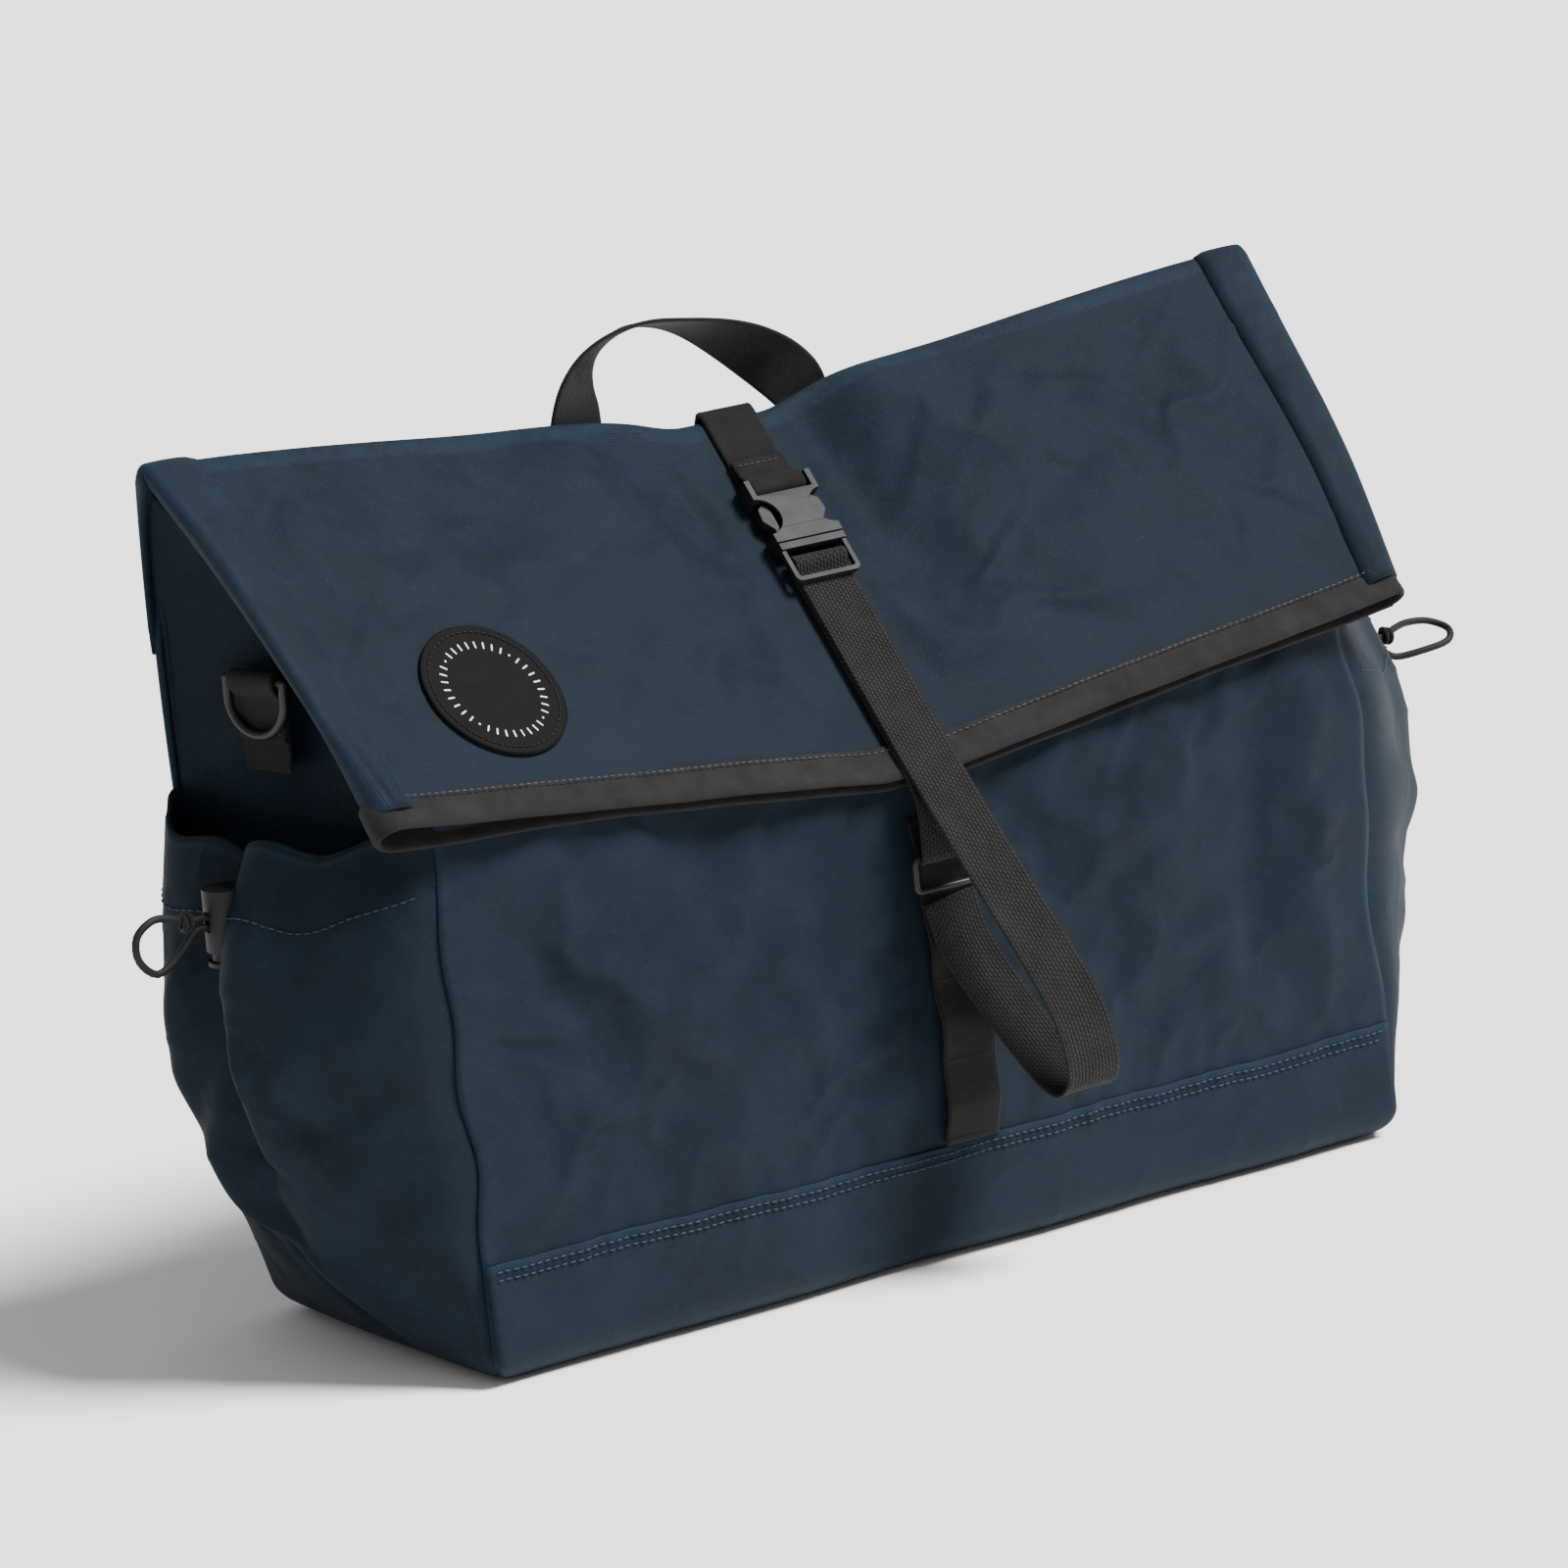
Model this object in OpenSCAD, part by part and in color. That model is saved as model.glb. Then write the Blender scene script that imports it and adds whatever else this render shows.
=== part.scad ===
// Fold-top messenger bag of waxed cloth. Front is -Y, back is +Y, up is +Z.
// The origin is the centre of the base's underside. All sizes are in millimetres.

/* [Body] */
// Width of the base between the side seams
base_w = 432; // [420:2:444]
// Depth of the base, front to back
base_d = 150; // [146:2:160]
// Width of the bag at the top fold
top_w = 520; // [512:2:528]
// Height of the two ends of the top fold
fold_h = 347; // [342:1:350]
// Thickness of the waxed cloth with its lining
cloth = 1.4; // [1.2:0.1:1.6]
// How far the front panel swells
belly = 6; // [3:1:7]
// How far the side pockets swell
pocket_swell = 46; // [42:2:50]

/* [Flap] */
// Width of the flap at its lower edge
flap_w = 476; // [470:2:486]
// Height of the two lower corners of the flap
flap_h = 223; // [220:1:225]
// How far the top fold sinks towards the middle
fold_dip = 18; // [14:1:20]
// How much further the strap pulls the fold down
strap_dip = 9; // [6:1:10]
// How far the lower edge sinks towards the middle
edge_dip = 29; // [26:1:30]
// How far the flap swells between its edges
flap_swell = 5; // [2:1:6]
// Width of the binding round the mouth
binding_w = 15; // [12:1:18]

/* [Webbing and buckle] */
// Width of the webbing
web_w = 25; // [24:0.5:25]
// Thickness of the webbing
web_t = 1.6; // [1.2:0.1:1.6]
// Width of the side-release buckle
buckle_w = 31; // [30.5:0.5:32]
// Distance from the fold to the buckle's webbing bar
buckle_s = 42.5; // [38:0.5:44]

/* [Side pockets and rings] */
// Height of the pocket mouths
pocket_h = 205; // [195:1:206]
// Thickness of the elastic cord
cord_d = 3; // [2.5:0.1:3]
// Diameter of the cord lock
lock_d = 16; // [15:0.5:16]
// Height of the cord lock's barrel
lock_h = 24; // [24:0.5:26]
// Thickness of the wire of a D-ring
ring_wire = 3.6; // [3:0.2:3.6]

/* [Hidden] */
strap_x = 3;
handle_x = -9;
base_sheet = 2;
seam_gap = 0.3;
front_lean = 0.07;
back_lean = 0.05;
band_h = 47;
strip_fold = 20;
strip_edge = 12;
strap_flat = 17;
fold_y = base_d / 2 - back_lean * fold_h;
edge_y = -68;
fold_gap = 6;
layer_gap = 1.2;
inner_drop = 0.02;
patch_r = 28.5;
patch_x = -168;
patch_v = 0.3;
daisy_top = 176;
lock_x = -269;
lock_y = 6;
lock_z = 180;
ring_x = -238.4;
ring_y = 22;
ring_z = 263;
ring_turn = 16;
tuck_z = 190;

navy = [0.09, 0.15, 0.2];
dark_navy = [0.07, 0.11, 0.15];
lining = [0.3, 0.31, 0.33];
binding_grey = [0.2, 0.19, 0.19];
web_black = [0.07, 0.07, 0.07];
plastic_black = [0.1, 0.1, 0.1];
steel = [0.3, 0.3, 0.32];

// ---- The shape of the bag ----

function mix(a, b, t) = a + (b - a) * t;
function front_y(z) = -base_d / 2 + front_lean * z;
function back_y(z) = base_d / 2 - back_lean * z;
function back_half(z) = mix(base_w / 2 + 6, top_w / 2, 1 - pow(1 - z / fold_h, 2));

// The middle of the fold and of the flap's edge is flat, under the strap.
function off_strap(x) = max(0, abs(x) - strap_flat);
function fold_z(x) = fold_h - fold_dip / 2 * (1 + cos(360 * off_strap(x) / top_w))
    - strap_dip * exp(-pow(off_strap(x) / 25, 2));
function edge_z(x) = flap_h - edge_dip * (1 - 2 * off_strap(x) / flap_w);

slope = atan2(fold_z(0) - edge_z(0), fold_y - edge_y);
slope_len = norm([fold_y - edge_y, fold_z(0) - edge_z(0)]);
out = [0, -sin(slope), cos(slope)];

// A point on the flap's upper face: across is -1 to 1, v is 0 at the lower edge and 1 at the fold,
// fold_half and edge_half are the half widths there, and lift stands it off the face.
function flap_point(across, v, fold_half, edge_half, lift = 0) =
    let (xf = across * fold_half, xe = across * edge_half)
    mix([xe, edge_y, edge_z(xe)], [xf, fold_y, fold_z(xf)], v)
    + out * (lift + flap_swell * sin(180 * v) * (1 - exp(-pow(off_strap(xe) / 60, 2))));

// A point on the middle line of the slope, s below the fold and h above its face.
function slope_point(s, h, x = strap_x) =
    [x, fold_y - s * cos(slope) - h * sin(slope), fold_z(0) - s * sin(slope) + h * cos(slope)];

// Top of the front panel, just below the flap.
function front_top(x) = edge_z(x) - 4;

// Top of the gusset at u, from 0 at the back to 1 at the front.
function gusset_top(u) = mix(fold_h - 13, flap_h - 6, u);

// Swell of the gusset at height z: outward behind the pocket, tucked inward above it.
function swell(z) = z < tuck_z ? 18 * sin(180 * z / tuck_z)
    : -20 * sin(180 * (z - tuck_z) / (fold_h - tuck_z));

// Outer face of the left gusset, u from 0 at the back seam to 1 at the front seam.
function side_point(u, z, lift = 0) = [
    -mix(back_half(z), base_w / 2, u) - swell(z) * pow(sin(180 * u), 0.6) - lift,
    mix(back_y(z) - 2, front_y(z) + 2, u),
    z
];

function side_u(y, z) = (back_y(z) - 2 - y) / (back_y(z) - front_y(z) - 4);

// The pocket's own swell, less where the cord gathers its mouth, gives its distance off the gusset.
lock_u = side_u(lock_y, lock_z);
function gather(u, z) = 0.42 * exp(-pow((u - lock_u) / 0.12, 2)) * min(1, max(0, z - 80) / 60);
function pocket_lift(u, z) = seam_gap + pow(sin(180 * u), 0.6)
    * max(0, pocket_swell * sin(180 * z / 240) * (1 - gather(u, z)) - swell(z));

// ---- Building blocks ----

// A closed sheet between two faces, each a function of u and v. Its outside is towards u x v.
module sheet(outer, inner, nu, nv) {
    n = (nu + 1) * (nv + 1);
    id = function (side, i, j) side * n + j * (nu + 1) + i;
    quad = function (a, b, c, d) [[a, b, c], [a, c, d]];
    faces = concat(
        [for (j = [0:nv - 1], i = [0:nu - 1])
            each quad(id(0, i, j), id(0, i, j + 1), id(0, i + 1, j + 1), id(0, i + 1, j))],
        [for (j = [0:nv - 1], i = [0:nu - 1])
            each quad(id(1, i, j), id(1, i + 1, j), id(1, i + 1, j + 1), id(1, i, j + 1))],
        [for (i = [0:nu - 1]) each quad(id(0, i, 0), id(0, i + 1, 0), id(1, i + 1, 0), id(1, i, 0))],
        [for (i = [0:nu - 1])
            each quad(id(0, i + 1, nv), id(0, i, nv), id(1, i, nv), id(1, i + 1, nv))],
        [for (j = [0:nv - 1]) each quad(id(0, 0, j + 1), id(0, 0, j), id(1, 0, j), id(1, 0, j + 1))],
        [for (j = [0:nv - 1])
            each quad(id(0, nu, j), id(0, nu, j + 1), id(1, nu, j + 1), id(1, nu, j))]
    );
    points = [for (face = [outer, inner], j = [0:nv], i = [0:nu]) face(i / nu, j / nv)];
    polyhedron(points, faces, convexity = 8);
}

// A smooth line through the points, with n steps to each span.
function smooth(p, n) = let (last = len(p) - 1) [
    for (i = [0:last - 1], k = [0:n - 1])
        let (a = p[max(0, i - 1)], b = p[i], c = p[i + 1], d = p[min(last, i + 2)], t = k / n)
        ((2 * b) + (c - a) * t + (2 * a - 5 * b + 4 * c - d) * t * t
            + (3 * b - a - 3 * c + d) * t * t * t) / 2,
    p[last]
];

function unit(v) = v / norm(v);
function heading(line, i) = unit(line[min(len(line) - 1, i + 1)] - line[max(0, i - 1)]);

// Joins rings of points, each of the same number, into a closed solid.
module skin(rings) {
    sides = len(rings[0]);
    last = len(rings) - 1;
    faces = concat(
        [for (i = [0:last - 1], k = [0:sides - 1])
            let (a = i * sides + k, b = i * sides + (k + 1) % sides)
            each [[a, b, b + sides], [a, b + sides, a + sides]]],
        [[for (k = [0:sides - 1]) sides - 1 - k]],
        [[for (k = [0:sides - 1]) last * sides + k]]
    );
    polyhedron([for (r = rings) each r], faces, convexity = 8);
}

// Flat webbing along a line. across gives the direction of its width at each point.
module webbing(line, across, w = web_w, t = web_t) {
    skin([for (i = [0:len(line) - 1])
        let (a = across[i] * w / 2, n = unit(cross(heading(line, i), across[i])) * t / 2)
        [line[i] + a + n, line[i] - a + n, line[i] - a - n, line[i] + a - n]]);
}

// A round cord along a line that never runs along Y.
module round_cord(line, d, sides = 8) {
    skin([for (i = [0:len(line) - 1])
        let (h = heading(line, i), a = unit(cross(h, [0, 1, 0])), b = cross(h, a))
        [for (k = [0:sides - 1])
            line[i] + (a * cos(-360 * k / sides) + b * sin(-360 * k / sides)) * d / 2]]);
}

// Puts children on the slope under the strap: +Y runs up the slope and +Z stands off it.
module on_slope() {
    translate([strap_x, fold_y, fold_z(0)]) rotate([slope, 0, 0]) children();
}

module right_side() {
    mirror([1, 0, 0]) children();
}

// ---- Base, panels and gussets ----

module rounded_plate(w, d, r) {
    union() {
        square([w, d - 2 * r], center = true);
        square([w - 2 * r, d], center = true);
        for (x = [-1, 1], y = [-1, 1])
            translate([x * (w / 2 - r), y * (d / 2 - r)]) circle(r, $fn = 48);
    }
}

module base_panel() {
    color(dark_navy) linear_extrude(base_sheet) rounded_plate(base_w - 8, base_d - 6, 14);
}

module base_board() {
    color(lining) translate([0, -1, base_sheet + seam_gap])
        linear_extrude(3) rounded_plate(base_w - 26, base_d - 34, 12);
}

function front_swell(x, z, top) =
    belly * sin(180 * z / top) * (1 - pow(2 * x / base_w, 2)) * (z < top ? 1 : 0);

module front_panel() {
    face = function (u, v, back)
        let (x = mix(-base_w / 2, base_w / 2, u), top = front_top(x), z = mix(0.5, top, v))
        [x, front_y(z) - front_swell(x, z, top) + back, z];
    color(navy) sheet(function (u, v) face(u, v, 0), function (u, v) face(u, v, cloth), 20, 8);
}

module front_band() {
    half = base_w / 2 - 1;
    face = function (u, v, out_by)
        let (x = mix(-half, half, u), z = mix(0.5, band_h, v))
        [x, front_y(z) - front_swell(x, z, front_top(x)) - out_by, z];
    color(navy) sheet(function (u, v) face(u, v, seam_gap + 1.2),
        function (u, v) face(u, v, seam_gap), 20, 4);
}

module front_lining() {
    half = base_w / 2 - 12;
    face = function (u, v, back)
        let (x = mix(-half, half, u), top = front_top(x), z = mix(8, top - 4, v))
        [x, front_y(z) - front_swell(x, z, top) + cloth + seam_gap + back, z];
    color(lining) sheet(function (u, v) face(u, v, 0), function (u, v) face(u, v, 0.8), 16, 6);
}

module back_panel() {
    face = function (u, v, back)
        let (top = fold_z(mix(top_w / 2, -top_w / 2, u)) - fold_gap, z = mix(0.5, top, v))
        [mix(1, -1, u) * back_half(z), back_y(z) - back, z];
    color(navy) sheet(function (u, v) face(u, v, 0), function (u, v) face(u, v, cloth), 24, 8);
}

module left_gusset() {
    point = function (u, v, lift) side_point(u, mix(3, gusset_top(u), v), lift);
    color(navy) sheet(function (u, v) point(u, v, 0), function (u, v) point(u, v, -cloth), 12, 12);
}

module back_pad() {
    half = base_w / 2 - 22;
    color(lining) sheet(
        function (u, v) let (z = mix(10, 286, v)) [mix(half, -half, u), back_y(z) - 3, z],
        function (u, v) let (z = mix(10, 286, v)) [mix(half, -half, u), back_y(z) - 8, z],
        2, 2);
}

// A cloth front and two side walls, open at the top and towards the back pad.
module inner_sleeve() {
    half = 165;
    wall = 1.2;
    low = 12;
    high = 225;
    plan = [[half, -8.3], [half - wall, -8.3], [half - wall, -22], [wall - half, -22],
        [wall - half, -8.3], [-half, -8.3], [-half, -22 - wall], [half, -22 - wall]];
    color(lining) translate([0, back_y(low), low])
        multmatrix([[1, 0, 0, 0], [0, 1, -back_lean, 0], [0, 0, 1, 0]])
            linear_extrude(high - low) polygon(plan);
}

// ---- Side pockets, cords and cord locks ----

hem_h = 27;

// Mouth of the pocket: highest at the seams, lowest where the cord gathers it.
function pocket_top(u) = pocket_h + 13 * pow(abs(2 * u - 1), 3)
    - 5 * exp(-pow((u - lock_u) / 0.12, 2));

module left_pocket() {
    point = function (u, v, lift) let (uu = mix(0.02, 0.98, u),
            z = mix(8, pocket_top(uu) - hem_h, v))
        side_point(uu, z, lift + pocket_lift(uu, z));
    color(navy) sheet(function (u, v) point(u, v, cloth), function (u, v) point(u, v, 0), 14, 8);
}

module left_pocket_hem() {
    point = function (u, v, lift) let (uu = mix(0.02, 0.98, u),
            z = mix(pocket_top(uu) - hem_h + seam_gap, pocket_top(uu), v))
        side_point(uu, z, lift + pocket_lift(uu, z));
    color(navy) sheet(function (u, v) point(u, v, cloth + 0.6), function (u, v) point(u, v, 0.2), 14, 3);
}

// Height of the elastic in the hem.
hem_cord_z = lock_z + 12;

module left_hem_elastic() {
    line = [for (i = [0:24]) let (u = mix(0.1, 0.9, i / 24))
        side_point(u, hem_cord_z, pocket_lift(u, hem_cord_z) - cord_d / 2 - 0.5)];
    color(web_black) skin([for (i = [0:24])
        let (h = heading(line, i), a = [0, 0, 1], b = cross(h, a))
        [for (k = [0:7]) line[i] + (a * cos(-45 * k) + b * sin(-45 * k)) * cord_d / 2]]);
}

// The free loops: out of the hem, through the lock and a knot, round, and back below the first strand.
strand = 2;
knot_x = lock_x - 17;
cord_out = [
    [lock_x + 11, lock_y, lock_z + strand],
    [lock_x, lock_y, lock_z + strand],
    [knot_x + 6, lock_y, lock_z + strand],
    [knot_x, lock_y, lock_z + strand]
];
cord_back = [
    [knot_x + 3, lock_y, lock_z - 3],
    [knot_x + 7, lock_y, lock_z - strand],
    [lock_x, lock_y, lock_z - strand],
    [lock_x + 11, lock_y, lock_z - strand]
];
left_loop = [
    [knot_x - 7, lock_y - 1, lock_z + 5],
    [knot_x - 15, lock_y - 2, lock_z + 6],
    [knot_x - 22, lock_y - 2, lock_z + 1],
    [knot_x - 22, lock_y - 2, lock_z - 8],
    [knot_x - 14, lock_y - 1, lock_z - 15],
    [knot_x - 4, lock_y, lock_z - 10]
];
// The right loop lies flatter. It is drawn on the left side here and mirrored.
right_loop = [
    [knot_x - 8, lock_y + 4, lock_z + 3],
    [knot_x - 18, lock_y + 8, lock_z + 3],
    [knot_x - 28, lock_y + 7, lock_z + 2],
    [knot_x - 33, lock_y, lock_z - 1],
    [knot_x - 27, lock_y - 7, lock_z - 4],
    [knot_x - 15, lock_y - 7, lock_z - 6],
    [knot_x - 4, lock_y - 3, lock_z - 6]
];

module left_cord() {
    color(web_black) round_cord(smooth(concat(cord_out, left_loop, cord_back), 4), cord_d);
}

module right_cord() {
    color(web_black) right_side()
        round_cord(smooth(concat(cord_out, right_loop, cord_back), 4), cord_d);
}

module left_cord_knot() {
    color(web_black) translate([knot_x, lock_y, lock_z + strand]) rotate([0, 90, 0])
        rotate_extrude($fn = 48) translate([cord_d / 2 + 1.5, 0]) circle(1.35, $fn = 24);
}

// The cord lock stands upside down: its barrel is open below, where the plunger is pressed.
plunger_travel = 3.5;
lock_wall = 1.6;
lock_slot_w = cord_d + 0.8;
lock_slot_h = cord_d + 2 * strand + 0.8;
plunger_top = lock_slot_h / 2 + 1.4;

module at_lock() {
    translate([lock_x, lock_y, lock_z]) children();
}

module left_lock_barrel() {
    color(plastic_black) at_lock() difference() {
        translate([0, 0, -lock_h / 2]) cylinder(h = lock_h, d = lock_d, $fn = 64);
        translate([0, 0, -lock_h / 2 - 1])
            cylinder(h = lock_h + 1 - lock_wall, d = lock_d - 2 * lock_wall, $fn = 64);
        cube([lock_d + 2, lock_slot_w, lock_slot_h], center = true);
    }
}

// The plunger's slot is long enough for the cord over its whole travel.
module left_lock_plunger() {
    bottom = -lock_h / 2 - plunger_travel - 0.4;
    color(plastic_black) at_lock() difference() {
        union() {
            translate([0, 0, bottom])
                cylinder(h = plunger_top - bottom, d = lock_d - 2 * lock_wall - 0.8, $fn = 64);
            translate([0, 0, bottom - 1.8]) cylinder(h = 1.8, d = lock_d - 0.6, $fn = 64);
        }
        translate([0, 0, -plunger_travel / 2])
            cube([lock_d, lock_slot_w, lock_slot_h + plunger_travel], center = true);
    }
}

module left_lock_spring() {
    wire = 0.7;
    coil_r = 3.6;
    turns = 2;
    steps = 36;
    low = plunger_top + wire;
    high = lock_h / 2 - lock_wall - wire;
    line = [for (i = [0:steps]) let (a = 360 * turns * i / steps)
        [coil_r * cos(a), coil_r * sin(a), mix(low, high, i / steps)]];
    color(steel) at_lock() skin([for (i = [0:steps])
        let (h = heading(line, i), a = unit([line[i][0], line[i][1], 0]), b = cross(h, a))
        [for (k = [0:5]) line[i] + (a * cos(-60 * k) + b * sin(-60 * k)) * wire / 2]]);
}

// ---- D-rings on the gussets ----

ring_in = 25.4;
ring_half = ring_in / 2 + ring_wire / 2;
ring_drop = 7;

// Puts children at the middle of the left ring's straight bar, with the bar along Y.
module at_ring() {
    translate([ring_x, ring_y, ring_z]) rotate([0, 0, ring_turn]) children();
}

module left_d_ring() {
    color(steel) at_ring() {
        translate([0, -ring_half, 0]) rotate([-90, 0, 0])
            cylinder(h = 2 * ring_half, d = ring_wire, $fn = 32);
        for (side = [-1, 1]) translate([0, side * ring_half, -ring_drop]) {
            cylinder(h = ring_drop, d = ring_wire, $fn = 32);
            translate([0, 0, ring_drop]) sphere(d = ring_wire, $fn = 32);
        }
        translate([0, 0, -ring_drop]) intersection() {
            rotate([0, 90, 0]) rotate_extrude($fn = 64) translate([ring_half, 0])
                circle(d = ring_wire, $fn = 32);
            translate([-10, -40, -60]) cube([20, 80, 60]);
        }
    }
}

// Webbing rolled round the ring's bar at its top and sewn to the gusset at its foot.
module left_ring_tab() {
    w = ring_in - 1.4;
    eye = ring_wire / 2 + 0.4;
    foot = 36;
    stand_off = 4.2;
    color(web_black) at_ring() translate([0, -w / 2, 0]) rotate([-90, 0, 0]) {
        difference() {
            cylinder(h = w, r = eye + web_t, $fn = 48);
            translate([0, 0, -1]) cylinder(h = w + 2, r = eye, $fn = 48);
        }
        linear_extrude(w) polygon([[eye + 0.1, -1], [eye + web_t - 0.1, -1], [stand_off + web_t, 8],
            [stand_off + web_t, foot], [stand_off, foot], [stand_off, 8]]);
    }
}

// ---- Flap ----

binding_v = binding_w / slope_len;
seam_fold = top_w / 2 - strip_fold;
seam_edge = flap_w / 2 - strip_edge;

// A piece of the flap between two depths below its upper face and two heights v.
module flap_layer(fold_half, edge_half, v0, v1, top_lift, thick, nu = 24, nv = 6) {
    point = function (u, v, lift)
        flap_point(2 * u - 1, mix(v0, v1, v), fold_half, edge_half, lift);
    sheet(function (u, v) point(u, v, top_lift), function (u, v) point(u, v, top_lift - thick), nu, nv);
}

module flap_outer() {
    color(navy) flap_layer(seam_fold - seam_gap, seam_edge - seam_gap,
        binding_v + 0.002, 1, 0, cloth);
}

module flap_inner() {
    color(dark_navy) flap_layer(seam_fold - seam_gap, seam_edge - seam_gap,
        binding_v + 0.002 - inner_drop, 0.955, -cloth - layer_gap, cloth);
}

module outer_binding() {
    color(binding_grey) flap_layer(seam_fold - seam_gap, seam_edge - seam_gap,
        0, binding_v, 0.5, cloth + 0.8, 24, 2);
}

module inner_binding() {
    color(binding_grey) flap_layer(seam_fold - seam_gap, seam_edge - seam_gap,
        -inner_drop, binding_v - inner_drop, -cloth - layer_gap + 0.3, cloth + 0.6, 24, 2);
}

// Thickness of the folded side of the flap. It is thin at the fold, where it meets the back panel.
strip_t = 2 * cloth + layer_gap + 0.6;
function strip_depth(v) = min(strip_t, cloth + 0.6 * max(0, (1 - v) * slope_len - 5));

// The left side of the flap, folded round from its upper layer to its lower one.
module left_strip(v0, v1, lift, nv) {
    at = function (u, v, down)
        let (vv = mix(v0, v1, v), round_off = 1 - pow(1 - u, 4))
        mix(
            flap_point(-1, vv, top_w / 2, flap_w / 2, 0),
            flap_point(-1, vv, seam_fold, seam_edge, 0), u)
        + out * (lift - down * strip_depth(vv) - (1 - 2 * down) * (1 - round_off) * strip_depth(vv) * 0.42);
    sheet(function (u, v) at(u, v, 0), function (u, v) at(u, v, 1), 6, nv);
}

module flap_left_edge() {
    color(navy) left_strip(binding_v + 0.002, 1, 0, 16);
}

module left_binding() {
    color(binding_grey) left_strip(0, binding_v, 0.4, 2);
}

// The patch is square to the flap at its own place.
module round_patch() {
    half = mix(seam_edge, seam_fold, patch_v);
    at = function (dx, dv) flap_point((patch_x + dx) / half, patch_v + dv, seam_fold, seam_edge);
    n = unit(cross(at(4, 0) - at(-4, 0), at(0, 0.02) - at(0, -0.02)));
    axis = cross([0, 0, 1], n);
    color(web_black) translate(at(0, 0) + n * 0.8) rotate(a = acos(n[2]), v = axis) {
        cylinder(h = 1.6, r = patch_r, $fn = 96);
        translate([0, 0, 1.6]) difference() {
            cylinder(h = 0.3, r = patch_r - 0.4, $fn = 96);
            translate([0, 0, -1]) cylinder(h = 3, r = patch_r - 1.6, $fn = 96);
        }
    }
}

// ---- Straps and buckle ----

load_h = 1.9;
tail_h = 3.9;
female_len = 27;
mouth_s = buckle_s + female_len;
male_s = mouth_s + 0.6;
bar_b_s = male_s + 8.6;
bar_c_s = male_s + 16.4;
buckle_mid = 4.9;
bar_d = 3;

function flat_across(line) = [for (p = line) [1, 0, 0]];

// Over the fold, down to the buckle's bar, round it and back up to the stitching.
module top_strap() {
    r = bar_d / 2 + web_t / 2 + 0.7;
    line = concat(
        [for (s = [2, 14, 26, 36]) slope_point(s, 1.15)],
        [slope_point(buckle_s - 2, buckle_mid - r + 0.1)],
        [for (a = [-90:15:60]) slope_point(buckle_s + r * cos(a), buckle_mid + r * sin(a))],
        [slope_point(buckle_s - 3, buckle_mid + r - 0.3), slope_point(36.5, 4.6),
         slope_point(31, 3.4), slope_point(27, 3.2)]
    );
    color(web_black) webbing(line, flat_across(line));
}

module strap_anchor() {
    low = 236;
    high = fold_z(0) - fold_gap - 0.5;
    line = [for (z = [low:(high - low) / 4:high + 0.1]) [strap_x, back_y(z) + 0.3 + web_t / 2, z]];
    color(web_black) webbing(line, flat_across(line));
}

// Outline of the female half, seen from above: horns beside the webbing, waisted at the releases.
module female_outline() {
    difference() {
        translate([-buckle_w / 2, -mouth_s]) square([buckle_w, female_len + 3.2]);
        for (side = [-1, 1]) translate([side * (buckle_w / 2 + 0.3), -buckle_s - 14.5])
            circle(8.3, $fn = 64);
    }
}

module buckle_female() {
    plate = 1.7;
    low = 0.8;
    high = 9;
    slot_w = web_w + 0.8;
    slot_l = 3.1;
    bar = bar_d / 2;
    color(plastic_black) on_slope() difference() {
        translate([0, 0, low]) linear_extrude(high - low) female_outline();
        // Room for the prongs, open at the mouth and at the two releases.
        translate([-buckle_w / 2 + 1.8, -mouth_s - 1, low + plate])
            cube([buckle_w - 3.6, female_len - bar - slot_l - 1, high - low - 2 * plate]);
        // Webbing slot below the bar, open space above it, and the bar's own height.
        translate([-slot_w / 2, -buckle_s - bar - slot_l, low - 1]) cube([slot_w, slot_l, high + 1]);
        translate([-slot_w / 2, -buckle_s + bar, low - 1]) cube([slot_w, 4, high + 1]);
        translate([-slot_w / 2, -buckle_s - bar - 0.1, buckle_mid + bar])
            cube([slot_w, bar_d + 0.2, high]);
        translate([-slot_w / 2, -buckle_s - bar - 0.1, low - 1])
            cube([slot_w, bar_d + 0.2, buckle_mid - bar - low + 1]);
    }
}

// Collar, ladder-lock frame and centre guide of the male half.
module buckle_male() {
    rail = 1.9;
    half = buckle_w / 2 - 0.4;
    end_s = bar_c_s + 1.3;
    frame_l = end_s - male_s - 0.5;
    color(plastic_black) on_slope() {
        translate([0, -male_s - 0.5 - frame_l / 2, 5.3]) linear_extrude(2.6) difference() {
            rounded_plate(2 * half, frame_l, 2.6);
            rounded_plate(2 * half - 2 * rail, frame_l - 2 * rail, 1.2);
        }
        translate([-half, -male_s - 3, 1.2]) cube([2 * half, 3, 7.6]);
        translate([-half + 0.5, -bar_b_s, buckle_mid + 0.8]) rotate([0, 90, 0])
            cylinder(h = 2 * half - 1, d = bar_d, $fn = 32);
        translate([-2.2, -male_s - 1, 3.4]) cube([4.4, 16, 2.8]);
    }
}

// Side arm that springs outward into the release and bends in as the halves part.
module left_prong() {
    color(plastic_black) on_slope() translate([0, -male_s, 3.2]) linear_extrude(3.4)
        polygon([[-11.6, 0], [-9.2, 0], [-9.2, 19.4], [-11, 20.4], [-14.4, 18], [-15, 12.6],
                 [-11.6, 8]]);
}

module right_prong() {
    translate([2 * strap_x, 0, 0]) mirror([1, 0, 0]) left_prong();
}

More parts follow.
